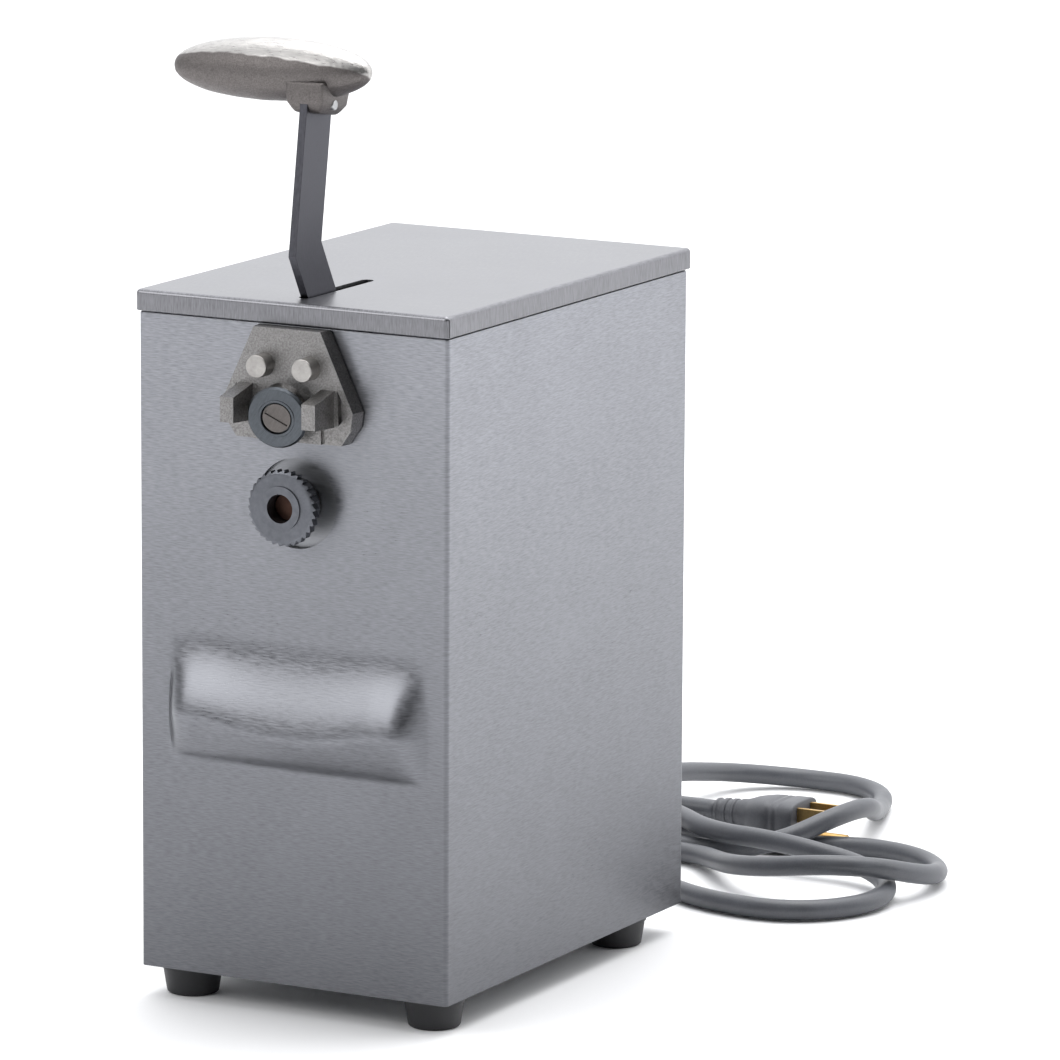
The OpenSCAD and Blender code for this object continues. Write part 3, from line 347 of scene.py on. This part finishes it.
class Paint:
    """Builds one node material, keeping the calls short."""

    def __init__(self, name, color, rough, metal):
        self.mat = bpy.data.materials.new(name)
        self.mat.use_nodes = True
        self.tree = self.mat.node_tree
        self.bsdf = self.tree.nodes["Principled BSDF"]
        self.bsdf.inputs["Base Color"].default_value = (*color, 1)
        self.bsdf.inputs["Roughness"].default_value = rough
        self.bsdf.inputs["Metallic"].default_value = metal
        self.coords = self.tree.nodes.new("ShaderNodeTexCoord").outputs["Object"]

    def put(self, socket, value):
        if isinstance(value, bpy.types.NodeSocket):
            self.tree.links.new(value, socket)
        else:
            socket.default_value = value

    def stretched(self, scale):
        mapping = self.tree.nodes.new("ShaderNodeMapping")
        self.tree.links.new(self.coords, mapping.inputs["Vector"])
        mapping.inputs["Scale"].default_value = scale
        return mapping.outputs["Vector"]

    def noise(self, scale, detail=3.0, rough=0.6, vector=None):
        made = self.tree.nodes.new("ShaderNodeTexNoise")
        self.tree.links.new(vector or self.coords, made.inputs["Vector"])
        made.inputs["Scale"].default_value = scale
        made.inputs["Detail"].default_value = detail
        made.inputs["Roughness"].default_value = rough
        return made.outputs["Fac"]

    def ramp(self, value, low, high, out_low=0.0, out_high=1.0):
        made = self.tree.nodes.new("ShaderNodeMapRange")
        self.tree.links.new(value, made.inputs["Value"])
        made.inputs["From Min"].default_value = low
        made.inputs["From Max"].default_value = high
        made.inputs["To Min"].default_value = out_low
        made.inputs["To Max"].default_value = out_high
        return made.outputs["Result"]

    def math(self, op, a, b):
        made = self.tree.nodes.new("ShaderNodeMath")
        made.operation = op
        self.put(made.inputs[0], a)
        self.put(made.inputs[1], b)
        return made.outputs[0]

    def mix(self, fac, a, b):
        made = self.tree.nodes.new("ShaderNodeMix")
        made.data_type = "RGBA"
        self.put(made.inputs[0], fac)
        self.put(made.inputs[6], a if isinstance(a, bpy.types.NodeSocket) else (*a, 1))
        self.put(made.inputs[7], b if isinstance(b, bpy.types.NodeSocket) else (*b, 1))
        return made.outputs[2]

    def color(self, socket):
        self.tree.links.new(socket, self.bsdf.inputs["Base Color"])

    def rough(self, socket):
        self.tree.links.new(socket, self.bsdf.inputs["Roughness"])

    def bump(self, height, strength, distance):
        made = self.tree.nodes.new("ShaderNodeBump")
        made.inputs["Strength"].default_value = strength
        made.inputs["Distance"].default_value = distance
        self.tree.links.new(height, made.inputs["Height"])
        self.tree.links.new(made.outputs["Normal"], self.bsdf.inputs["Normal"])

    def normal_mask(self, axis, low, high):
        geo = self.tree.nodes.new("ShaderNodeNewGeometry")
        split = self.tree.nodes.new("ShaderNodeSeparateXYZ")
        self.tree.links.new(geo.outputs["Normal"], split.inputs[0])
        return self.ramp(split.outputs[axis], low, high)

    def aniso(self, amount, rotation, axis):
        tangent = self.tree.nodes.new("ShaderNodeTangent")
        tangent.direction_type = "RADIAL"
        tangent.axis = axis
        self.bsdf.inputs["Anisotropic"].default_value = amount
        self.bsdf.inputs["Anisotropic Rotation"].default_value = rotation
        self.tree.links.new(tangent.outputs[0], self.bsdf.inputs["Tangent"])


def scaled(color, k):
    return tuple(min(1, c * k) for c in color)


def brushed(name, color, rough, grain, depth, bump, aniso=None, second=None, painted_height_shade=None):
    """Linished sheet: short dashes along the grain, cloudy wear, fine scratches, and where asked
    painted shade that darkens the colour towards the bottom.
    """
    p = Paint(name, color, rough, 1.0)
    fine = p.noise(1.0, 2, 0.5, p.stretched(grain))
    if second:
        other = p.noise(1.0, 2, 0.5, p.stretched(second))
        fine = blend_value(p, fine, other)
    cloud = p.noise(9.0, 4, 0.55)
    patch = p.noise(38.0, 3, 0.6)
    tone = p.math("ADD", p.ramp(fine, 0.25, 0.75, -depth, depth),
                  p.ramp(cloud, 0.3, 0.7, -0.05, 0.05))
    tone = p.math("ADD", tone, p.ramp(patch, 0.3, 0.7, -0.025, 0.025))
    low, high = scaled(color, 0.55), scaled(color, 1.45)
    shade = p.mix(p.math("ADD", tone, 0.5), low, high)
    # Painted shade: the colour is scaled by height, darker towards the bottom of the shell and lighter
    # at the top, standing in for how the light falls.
    if painted_height_shade:
        split = p.tree.nodes.new("ShaderNodeSeparateXYZ")
        p.put(split.inputs[0], p.coords)
        height = p.ramp(split.outputs[2], FOOT_H, SHELL_TOP, painted_height_shade[0], painted_height_shade[1])
        scale = p.tree.nodes.new("ShaderNodeVectorMath")
        scale.operation = "SCALE"
        p.put(scale.inputs[0], shade)
        p.put(scale.inputs["Scale"], height)
        shade = scale.outputs[0]
    p.color(shade)
    p.rough(p.math("ADD", p.ramp(fine, 0.3, 0.7, rough - 0.07, rough + 0.07),
                   p.ramp(cloud, 0.3, 0.7, -0.03, 0.03)))
    p.bump(fine, bump, 0.00006)
    if aniso:
        p.aniso(*aniso)
    return p


def blend_value(p, a, b):
    """Takes a on upright faces and b on level ones."""
    made = p.tree.nodes.new("ShaderNodeMix")
    p.put(made.inputs[0], p.normal_mask(2, 0.4, 0.6))
    p.put(made.inputs[2], a)
    p.put(made.inputs[3], b)
    return made.outputs[0]


def cast(name, color, rough, scale, depth, bump, stain=(0.2, 0.18, 0.17)):
    """Rough plated casting: pebbled skin with dark dirt in the low places."""
    p = Paint(name, color, rough, 1.0)
    skin = p.noise(scale, 5, 0.65)
    coarse = p.noise(scale * 0.22, 3, 0.5)
    dirt = p.ramp(p.math("ADD", skin, p.math("MULTIPLY", coarse, 0.25)), 0.42, 0.82)
    p.color(p.mix(dirt, p.mix(coarse, scaled(color, 0.72), stain), scaled(color, 1.1)))
    p.rough(p.ramp(skin, 0.3, 0.7, rough + 0.12, rough - 0.08))
    p.bump(p.math("ADD", skin, p.math("MULTIPLY", coarse, 1.5)), bump, depth)
    return p


def rubber(name, color, rough, scale=1500.0, depth=0.00005, spread=0.2):
    p = Paint(name, color, rough, 0.0)
    grit = p.noise(scale, 4, 0.7)
    cloud = p.noise(60.0, 3, 0.6)
    tone = p.math("ADD", p.ramp(grit, 0.3, 0.7, -spread, spread), cloud)
    p.color(p.mix(tone, scaled(color, 0.7), scaled(color, 1.35)))
    p.rough(p.ramp(cloud, 0.3, 0.7, rough - 0.08, rough + 0.08))
    p.bump(grit, 0.4, depth)
    return p


def turned(name, color, rough, axis="Y", rings=9000.0, depth=0.12):
    """Lathe-turned metal: fine rings along the axis, with light handling marks."""
    p = Paint(name, color, rough, 1.0)
    grit = p.noise(900.0, 3, 0.6)
    cloud = p.noise(70.0, 3, 0.6)
    stretch = [rings if a == axis else 300 for a in "XYZ"]
    line = p.noise(1.0, 1, 0.5, p.stretched(stretch))
    tone = p.math("ADD", p.ramp(line, 0.3, 0.7, -depth, depth),
                  p.ramp(grit, 0.3, 0.7, -0.1, 0.1))
    p.color(p.mix(p.math("ADD", tone, 0.5), scaled(color, 0.6), scaled(color, 1.3)))
    p.rough(p.ramp(cloud, 0.3, 0.7, rough - 0.06, rough + 0.08))
    p.bump(p.math("ADD", line, grit), 0.25, 0.00004)
    return p


STEEL = (0.245, 0.25, 0.27)
# The shell colour carries painted shade: darker towards the bottom, lighter towards the top.
shell_paint = brushed("shell_brushed", STEEL, 0.36, (260, 260, 2500), 0.26, 0.5,
                      aniso=(0.5, 0.25, "Z"), painted_height_shade=(0.55, 1.1))
lid_paint = brushed("lid_brushed", (0.21, 0.21, 0.223), 0.36, (1900, 1900, 220), 0.3, 0.4,
                    second=(1900, 260, 900))
panel_paint = brushed("panel_brushed", (0.26, 0.265, 0.28), 0.42, (150, 150, 2400), 0.12, 0.4)
bar_paint = brushed("bar_ground", (0.085, 0.085, 0.097), 0.42, (1500, 900, 500), 0.14, 0.4)
plate_paint = cast("plate_cast", (0.27, 0.265, 0.262), 0.34, 1300.0, 0.0002, 1.0,
                   (0.1, 0.09, 0.085))
bell_paint = cast("bell_cast", (0.5, 0.51, 0.52), 0.5, 900.0, 0.0001, 0.5)
wheel_paint = turned("wheel_turned", (0.13, 0.135, 0.15), 0.4)
core_end_paint = turned("shaft_oiled", (0.05, 0.028, 0.022), 0.45)
knife_paint = turned("knife_dark", (0.085, 0.093, 0.103), 0.36)
screw_paint = turned("knife_screw_dark", (0.12, 0.11, 0.105), 0.36)
stud_paint = turned("stud_turned", (0.40, 0.385, 0.37), 0.4)
zinc_paint = turned("zinc_plated", (0.42, 0.425, 0.43), 0.38)
steel_paint = turned("ground_steel", (0.48, 0.485, 0.49), 0.3)
bronze_paint = turned("oiled_bronze", (0.42, 0.29, 0.15), 0.38)
brass_paint = turned("dull_brass", (0.55, 0.37, 0.15), 0.32, "X")
copper_paint = turned("enamelled_copper", (0.42, 0.16, 0.06), 0.35, "Y", 1800.0, 0.3)
core_paint = turned("laminated_iron", (0.2, 0.2, 0.21), 0.5, "Y", 1400.0, 0.35)
foot_paint = rubber("foot_rubber", (0.012, 0.012, 0.014), 0.5)
cord_paint = rubber("cord_rubber", (0.085, 0.089, 0.1), 0.42)
plug_paint = rubber("plug_rubber", (0.085, 0.088, 0.098), 0.5)
plastic_paint = rubber("black_plastic", (0.02, 0.02, 0.022), 0.4, 2500.0, 0.00002, 0.1)
red_paint = rubber("red_plastic", (0.4, 0.03, 0.02), 0.35, 2500.0, 0.00002, 0.1)


def knob_material():
    """Cast knob: the upper half gets a light colour as a painted highlight, with linish grain and
    lower roughness; the front keeps its pebbled skin.
    """
    p = cast("knob_cast", (0.155, 0.143, 0.14), 0.46, 1900.0, 0.00014, 0.9,
             (0.11, 0.098, 0.092))
    lean = math.radians(27)
    face = Vector((0.035, math.sin(lean), math.cos(lean)))
    dot = p.tree.nodes.new("ShaderNodeVectorMath")
    dot.operation = "DOT_PRODUCT"
    p.tree.links.new(p.coords, dot.inputs[0])
    dot.inputs[1].default_value = face
    edge = p.math("ADD", dot.outputs["Value"],
                  p.ramp(p.noise(90.0, 2, 0.5), 0.3, 0.7, -0.0006, 0.0006))
    level = KNOB_CENTRE.dot(face)
    # Painted highlight: above this tilted plane the knob's colour is made light, standing in for the
    # light falling on its top.
    lit_top_mask = p.ramp(edge, level + 0.0002, level + 0.0009)
    grain = p.noise(1.0, 2, 0.5, p.stretched((140, 1500, 1500)))
    # The light colour is a painted highlight; the grain in it and the lower roughness are the linish
    # finish.
    lit_top_colour = p.mix(p.ramp(grain, 0.3, 0.7), (0.36, 0.35, 0.34), (0.5, 0.485, 0.47))
    old = p.bsdf.inputs["Base Color"].links[0].from_socket
    p.color(p.mix(lit_top_mask, old, lit_top_colour))
    rough = p.bsdf.inputs["Roughness"].links[0].from_socket
    made = p.tree.nodes.new("ShaderNodeMix")
    p.put(made.inputs[0], lit_top_mask)
    p.put(made.inputs[2], rough)
    p.put(made.inputs[3], p.ramp(grain, 0.3, 0.7, 0.26, 0.36))
    p.rough(made.outputs[0])
    return p


knob_paint = knob_material()


def dress(obj, paint):
    obj.data.materials.clear()
    obj.data.materials.append(paint.mat)


def dress_node(name, paint, edge):
    """Gives a CAD node its material, and a worked edge where edge isn't 0."""
    obj = NODES[name]
    for place in obj.material_slots:
        place.material = paint.mat
    if not obj.material_slots:
        obj.data.materials.append(paint.mat)
    if edge:
        worked_edge(obj, edge, dissolve=True)
        normals = obj.modifiers.new("normals", "WEIGHTED_NORMAL")
        normals.weight = 100


dress(cord, cord_paint)
dress(relief, cord_paint)
dress(plug, plug_paint)

# Kept CAD nodes: material and edge width in metres
CARRIED = {
    "plug_blades": (brass_paint, 0.0002), "plug_ground_pin": (brass_paint, 0.0005),
    "base_plate": (panel_paint, 0), "back_panel": (panel_paint, 0), "foot_screws": (zinc_paint, 0),
    "terminal_block": (plastic_paint, 0.0004), "main_frame": (panel_paint, 0),
    "frame_screws": (zinc_paint, 0.0003), "gearbox_cover": (panel_paint, 0),
    "gearbox_screws": (zinc_paint, 0.0003), "slide_gibs": (bronze_paint, 0.0002),
    "gib_screws": (zinc_paint, 0.0003), "pivot_bushes": (bronze_paint, 0.0002),
    "feed_bush_front": (bronze_paint, 0.0003), "feed_bush_rear": (bronze_paint, 0.0003),
    "idler_bushes": (bronze_paint, 0.0003), "stator_core": (core_paint, 0),
    "field_windings": (copper_paint, 0.001), "front_end_bell": (bell_paint, 0),
    "rear_end_bell": (bell_paint, 0), "motor_bearings": (steel_paint, 0.0003),
    "brush_holders": (plastic_paint, 0.0003), "motor_bolts": (zinc_paint, 0.0003),
    "rotor_shaft": (steel_paint, 0.0003), "rotor_core": (core_paint, 0),
    "commutator": (copper_paint, 0.0003), "cooling_fan": (plastic_paint, 0),
    "motor_pinion": (steel_paint, 0), "idler_shaft": (steel_paint, 0.0003),
    "cluster_gear": (bronze_paint, 0), "feed_shaft": (core_end_paint, 0.0006),
    "output_gear": (bronze_paint, 0), "knob_rivet": (zinc_paint, 0.0004),
    "pivot_shaft": (steel_paint, 0.0005), "arm_hub": (steel_paint, 0.0003),
    "crank_pin": (steel_paint, 0.0003), "pivot_rings": (zinc_paint, 0.0002),
    "slide_block": (steel_paint, 0.0003), "lift_yoke": (steel_paint, 0.0003),
    "yoke_screws": (zinc_paint, 0.0003), "switch_body": (plastic_paint, 0.0005),
    "switch_bracket": (panel_paint, 0.0002), "switch_plunger": (red_paint, 0.0003),
    "handle_arm": (bar_paint, 0.0004), "knife_plate": (plate_paint, 0.0006),
    "guide_studs": (stud_paint, 0.0005), "knife_screw": (screw_paint, 0.0002),
    "knife_wheel": (knife_paint, 0.0001), "feed_wheel": (wheel_paint, 0.00015),
}
for node_name, (paint, edge) in CARRIED.items():
    dress_node(node_name, paint, edge)


# ---- housing ----

def wall_loop(half_w, front, rear, r, back_return=0.0):
    """Plan of folded walls as (point, outward normal), from the left rear past the front."""
    pts = []

    def arc(cx, cy, start):
        for i in range(7):
            t = start + math.pi / 2 * i / 6
            n = Vector((math.cos(t), math.sin(t), 0))
            pts.append((Vector((cx, cy, 0)) + n * r, n))

    if back_return:
        pts.append((Vector((back_return - half_w, rear, 0)), Vector((0, 1, 0))))
    arc(r - half_w, rear - r, math.pi / 2)
    arc(r - half_w, front + r, math.pi)
    inner = 2 * (half_w - r)
    count = 112
    for i in range(1, count):
        pts.append((Vector((r - half_w + inner * i / count, front, 0)), Vector((0, -1, 0))))
    arc(half_w - r, front + r, math.pi * 1.5)
    arc(half_w - r, rear - r, 0)
    if back_return:
        pts.append((Vector((half_w - back_return, rear, 0)), Vector((0, 1, 0))))
    return pts


def smoothstep(t):
    t = min(max(t, 0), 1)
    return t * t * (3 - 2 * t)


def rest_form(x, z):
    """The stamped can rest before easing: a scooped ramp over a rounded lip, with steep ends."""
    dx = abs(x - MECH_X)
    end = max(dx - 0.043, 0) / 0.013
    if end >= 1:
        return 0
    side = (1 - end ** 2.2) ** 0.7
    base = SHELL_TOP - 0.159
    lip = base + 0.004 - 0.005 * max(1 - (dx / 0.036) ** 2, 0)
    low, high = base - 0.0135, base + 0.037
    if z > lip:
        up = (z - lip) / (high - lip)
        return 0.01 * side * (1 - smoothstep(up ** 0.9))
    down = (lip - z) / (lip - low)
    return 0.01 * side * max(1 - down, 0) ** 0.6


def rest_height(x, z):
    """How far the front sheet stands out, with the edges eased over the sheet's own bend."""
    total = weight = 0
    for i in range(-2, 3):
        for k in range(-2, 3):
            w = 1 / (1 + i * i + k * k)
            total += w * rest_form(x + i * 0.0009, z + k * 0.0009)
            weight += w
    return total / weight


def make_shell():
    loop = wall_loop(HALF_W, FRONT, REAR - SHEET, BEND, 0.011)
    rows = [(FOOT_H, 0)]
    z = FOOT_H + 0.012
    while z < SHELL_TOP - 0.004:
        rows.append((z, 0))
        z += 0.001 if 0.088 < z < 0.156 else 0.008
    rows += [(SHELL_TOP - 0.0006, 0), (SHELL_TOP - 0.0002, 0.0002), (SHELL_TOP, 0.0006),
             (SHELL_TOP, 0.0012), (SHELL_TOP + 0.006, 0.0012)]
    verts, faces = [], []
    n = len(loop)
    for z, inset in rows:
        for p, normal in loop:
            v = p - normal * inset
            v.z = z
            if normal.y < -0.999:
                v.y -= rest_height(v.x, z)
            verts.append(v)
    for j in range(len(rows) - 1):
        for i in range(n - 1):
            a = j * n + i
            faces.append([a, a + 1, a + 1 + n, a + n])
    shell = add("shell_sheet", verts, faces)
    thick = shell.modifiers.new("thick", "SOLIDIFY")
    thick.thickness = SHEET
    thick.offset = -1
    thick.use_even_offset = True
    apply_modifiers(shell)
    outlines = [circle((MECH_X, FEED_Z), WHEEL_HOLE_R, 96)]
    for side in (-1, 1):
        x = MECH_X + side * STUD_OFFSET
        outlines.append(stadium((x, STUD_SLOT_Z[0]), (x, STUD_SLOT_Z[1]), STUD_SLOT_R))
    cutters = [solid(*prism(outline, 1, FRONT - 0.002, FRONT + 0.006)) for outline in outlines]
    cut(shell, cutters)
    even_normals(shell)
    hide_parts("shell")
    dress(shell, shell_paint)
    return shell


def make_lid():
    half_w, front, rear = HALF_W + 0.0006, FRONT - 0.0016, REAR + 0.0009
    loop = wall_loop(half_w, front, rear, BEND)
    rows = [(LID_BOTTOM, 0.0003), (LID_BOTTOM + 0.0003, 0)]
    bend = 0.0017
    rows.append((LID_TOP - bend, 0))
    for i in range(1, 7):
        t = math.pi / 2 * i / 6
        rows.append((LID_TOP - bend + bend * math.sin(t), bend * (1 - math.cos(t))))
    verts = []
    for z, inset in rows:
        for p, normal in loop:
            v = p - normal * inset
            v.z = z
            verts.append(v)
    lid = add("lid_sheet", verts, ring_faces(len(loop), len(rows), caps=False))
    slot = stadium((ARM_X, ARM_SLOT_Y[0]), (ARM_X, ARM_SLOT_Y[1]), ARM_SLOT_R, 12)
    bm = bmesh.new()
    bm.from_mesh(lid.data)
    rim = [e for e in bm.edges
           if e.is_boundary and all(v.co.z > LID_TOP - WELD_GAP for v in e.verts)]
    hole = [bm.verts.new((x, y, LID_TOP)) for x, y in slot]
    rim += [bm.edges.new((hole[i], hole[(i + 1) % len(hole)])) for i in range(len(hole))]
    bmesh.ops.triangle_fill(bm, edges=rim, use_beauty=True, normal=(0, 0, 1))
    bmesh.ops.recalc_face_normals(bm, faces=bm.faces)
    if sum(f.normal.z * f.calc_area() for f in bm.faces) < 0:
        bmesh.ops.reverse_faces(bm, faces=bm.faces)
    bm.to_mesh(lid.data)
    bm.free()
    thick = lid.modifiers.new("thick", "SOLIDIFY")
    thick.thickness = SHEET
    thick.offset = -1
    apply_modifiers(lid)
    cutters = []
    for side in (-1, 1):
        x0, x1 = sorted((side * (half_w - 0.0032), side * (half_w + 0.001)))
        for y0 in (front + 0.00125, rear - 0.0016):
            corner_gap = [(x0, y0), (x1, y0), (x1, y0 + 0.0004), (x0, y0 + 0.0004)]
            cutters.append(solid(*prism(corner_gap, 2, LID_BOTTOM - 0.001, LID_TOP - 0.0011)))
        screw_hole = circle((side * LID_SCREW_X, LID_SCREW_Z), 0.002, 24)
        cutters.append(solid(*prism(screw_hole, 1, REAR - 0.002, REAR + 0.003)))
    cut(lid, cutters, True)
    even_normals(lid)
    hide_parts("lid")
    dress(lid, lid_paint)
    return lid


def make_feet():
    places = [(x, y) for x in (-FOOT_X, FOOT_X) for y in FOOT_Y]
    profile = [(3.0, 5.2), (3.0, 1.2), (8.8, 0.9), (9.2, 0), (9.7, 0.1), (10.1, 0.5), (10.3, 1.2),
               (11.6, 9.4), (12.1, 9.9), (12.2, 10.4), (12.2, 11.5), (11.9, 12), (2.4, 12)]
    for k, (x, y) in enumerate(places):
        foot = lathe(f"foot_{k + 1}", [(r * MM, h * MM) for r, h in profile], (x, y, 0), (0, 0, 1))
        smooth_by_angle(foot.data, 40)
        dress(foot, foot_paint)
        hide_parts("feet")


def make_springs():
    """Two coil springs under the slide block, drawn at one fixed length; in the machine they are
    squeezed as the knife goes down.
    """
    foot, top, turns, steps, sides = 0.219, 0.249, 7, 28, 10
    coil_r, wire_r = 0.0032, 0.0005
    for side in (-1, 1):
        at = Vector((MECH_X + side * 0.012, -0.082, foot))
        verts = []
        count = turns * steps
        for i in range(count + 1):
            share = i / count
            a = TAU * i / steps
            eased = smoothstep(share * 3) * smoothstep((1 - share) * 3)
            lift = 0.0006 + (top - foot - 0.0012) * (share * 0.985 + 0.0075)
            out = Vector((math.cos(a), math.sin(a), 0))
            centre = at + out * (coil_r - 0.0001 * (1 - eased)) + Vector((0, 0, lift))
            for k in range(sides):
                t = TAU * k / sides
                verts.append(centre + (out * math.cos(t) + Vector((0, 0, math.sin(t)))) * wire_r)
        name = "return_spring_left" if side < 0 else "return_spring_right"
        spring = add(name, verts, ring_faces(sides, count + 1))
        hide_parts("return_springs")
        dress(spring, steel_paint)
        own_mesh(spring)


def driven_head(name, at, axis, r, h):
    """Pan head with a cross recess, and its shank."""
    profile = [(r * 0.45, -0.006), (r * 0.45, 0), (r, 0), (r, h * 0.45), (r * 0.93, h * 0.75),
               (r * 0.75, h * 0.93), (r * 0.4, h), (r * 0.1, h)]
    head = lathe(name, profile, at, axis, n=40)
    axis = Vector(axis)
    side = axis.orthogonal().normalized()
    other = axis.cross(side)
    for u, v in ((side, other), (other, side)):
        corners = []
        for level in (h * 0.35, h * 1.5):
            for a, b in ((-1, -1), (1, -1), (1, 1), (-1, 1)):
                corners.append(Vector(at) + axis * level
                               + u * (a * r * 0.5) + v * (b * r * 0.09))
        faces = [[0, 1, 2, 3], [4, 7, 6, 5], [0, 4, 5, 1], [1, 5, 6, 2], [2, 6, 7, 3], [3, 7, 4, 0]]
        cut(head, [solid(corners, faces)])
    smooth_by_angle(head.data, 35)
    dress(head, zinc_paint)
    return head


def make_screws():
    for side in (-1, 1):
        tag = "left" if side < 0 else "right"
        for k, z in enumerate(BACK_SCREW_Z):
            head = driven_head(f"back_screw_{tag}_{k + 1}", (side * BACK_SCREW_X, REAR, z),
                               (0, 1, 0), 0.0035, 0.0018)
            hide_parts("back_screws")
        head = driven_head(f"lid_screw_{tag}", (side * LID_SCREW_X, REAR + 0.0009, LID_SCREW_Z),
                           (0, 1, 0), 0.00325, 0.0015)
        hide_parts("lid_screws")


# ---- handle knob ----

def make_knob():
    tilt = Matrix.Rotation(math.radians(-1.5), 3, "Y")
    n, m = 72, 72
    verts = []
    for j in range(m + 1):
        a = math.pi * j / m
        x = -0.043 * math.cos(a)
        r = 0.01215 * math.sin(a) ** 0.92 if 0 < j < m else 0.0002
        for i in range(n):
            t = TAU * i / n
            y, z = r * math.cos(t), r * math.sin(t)
            p = Vector((x, y, z))
            lump = noise.noise(p * 90) * 0.00022 + noise.noise(p * 35) * 0.0002
            near_seam = max(0, 1 - abs(math.sin(t) + 0.55) / 0.07)
            seam = near_seam * (1 if math.cos(t) < 0 else 0) * 0.00022
            y, z = (r + lump + seam) * math.cos(t), (r + lump + seam) * math.sin(t)
            verts.append(KNOB_CENTRE + tilt @ Vector((x, y, z)))
    knob = add("knob", verts, ring_faces(n, m + 1, flip=True), "arm")
    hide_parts("handle_knob")
    dress(knob, knob_paint)

    lean = Matrix.Rotation(math.radians(-8.8), 3, "X")
    outline = [(-8, -10.5), (8.5, -10.5), (8.5, 10.5), (-8, 10.5)]
    levels = [(-15.8, 0.66), (-14.2, 0.8), (-11.8, 0.96), (-4, 1.04)]
    verts = []
    for z, k in levels:
        for x, y in outline:
            verts.append(KNOB_AT + lean @ (Vector((0.25 + (x - 0.25) * k, y * k, z)) * MM))
    socket = add("knob_socket", verts, ring_faces(4, len(levels)), "arm")
    worked_edge(socket, 0.0012, 3)
    smooth_by_angle(socket.data, 30)
    apply_modifiers(socket)
    slot_pts = []
    for z in (-30, -6):
        for x, y in ((-1.7, -9.6), (1.7, -9.6), (1.7, 9.6), (-1.7, 9.6)):
            slot_pts.append(KNOB_AT + lean @ (Vector((x, y, z)) * MM))
    slot_faces = [[3, 2, 1, 0], [4, 5, 6, 7], [0, 1, 5, 4], [1, 2, 6, 5], [2, 3, 7, 6], [3, 0, 4, 7]]
    cut(socket, [solid(slot_pts, slot_faces)])
    smooth_by_angle(socket.data, 35)
    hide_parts("handle_knob")
    dress(socket, knob_paint)


make_shell()
make_lid()
make_feet()
make_screws()
make_springs()
make_knob()


# ---- stage and light ----

def make_stage():
    mesh = bpy.data.meshes.new("floor")
    s, z = 30, -0.0002
    mesh.from_pydata([(-s, -s, z), (s, -s, z), (s, s, z), (-s, s, z)], [], [[0, 1, 2, 3]])
    floor = bpy.data.objects.new("floor", mesh)
    bpy.context.scene.collection.objects.link(floor)
    p = Paint("floor_pale", (0.9, 0.9, 0.905), 0.7, 0.0)
    p.color(p.mix(p.noise(3.0, 3, 0.5), (0.89, 0.89, 0.895), (0.92, 0.92, 0.92)))
    floor.data.materials.append(p.mat)


def area(name, at, to, size, power, size_y=None):
    data = bpy.data.lights.new(name, "AREA")
    data.energy = power
    data.shape = "RECTANGLE"
    data.size = size
    data.size_y = size_y or size
    light = bpy.data.objects.new(name, data)
    light.location = at
    light.rotation_mode = "QUATERNION"
    light.rotation_quaternion = (Vector(to) - Vector(at)).to_track_quat("-Z", "Y")
    bpy.context.scene.collection.objects.link(light)


def make_light():
    world = bpy.data.worlds.new("studio")
    bpy.context.scene.world = world
    world.use_nodes = True
    tree = world.node_tree
    back = tree.nodes["Background"]
    coords = tree.nodes.new("ShaderNodeTexCoord")
    split = tree.nodes.new("ShaderNodeSeparateXYZ")
    tree.links.new(coords.outputs["Generated"], split.inputs[0])
    terms = []
    for axis, low, high, a, b in ((1, -0.5, 0.6, 0.36, 1.5), (2, 0.15, 0.9, 0.0, 0.7)):
        ramp = tree.nodes.new("ShaderNodeMapRange")
        ramp.interpolation_type = "SMOOTHSTEP"
        ramp.inputs["From Min"].default_value = low
        ramp.inputs["From Max"].default_value = high
        ramp.inputs["To Min"].default_value = a
        ramp.inputs["To Max"].default_value = b
        tree.links.new(split.outputs[axis], ramp.inputs["Value"])
        terms.append(ramp.outputs[0])
    total = tree.nodes.new("ShaderNodeMath")
    total.operation = "ADD"
    tree.links.new(terms[0], total.inputs[0])
    tree.links.new(terms[1], total.inputs[1])
    quarter = tree.nodes.new("ShaderNodeVectorMath")
    quarter.operation = "DOT_PRODUCT"
    tree.links.new(coords.outputs["Generated"], quarter.inputs[0])
    quarter.inputs[1].default_value = (0.88, -0.47, 0.0)
    shade = tree.nodes.new("ShaderNodeMapRange")
    shade.interpolation_type = "SMOOTHSTEP"
    shade.inputs["From Min"].default_value = 0.3
    shade.inputs["From Max"].default_value = 0.85
    shade.inputs["To Min"].default_value = 1.0
    shade.inputs["To Max"].default_value = 0.05
    tree.links.new(quarter.outputs["Value"], shade.inputs["Value"])
    dimmed = tree.nodes.new("ShaderNodeMath")
    dimmed.operation = "MULTIPLY"
    tree.links.new(total.outputs[0], dimmed.inputs[0])
    tree.links.new(shade.outputs[0], dimmed.inputs[1])
    tree.links.new(dimmed.outputs[0], back.inputs["Strength"])
    back.inputs["Color"].default_value = (0.97, 0.98, 1.0, 1)
    area("key", (-1.05, -1.6, 1.35), (0, 0, 0.15), 1.4, 15, 0.9)
    area("top", (0.1, 0.7, 2.6), (0, 0, 0.1), 2.2, 46)
    area("side", (2.2, 1.5, 1.2), (0, 0, 0.12), 1.2, 8)
    scene = bpy.context.scene
    scene.view_settings.view_transform = "Standard"
    scene.view_settings.look = "None"
    scene.view_settings.exposure = 0
    scene.view_settings.gamma = 1


make_stage()
make_light()

bpy.context.view_layer.update()
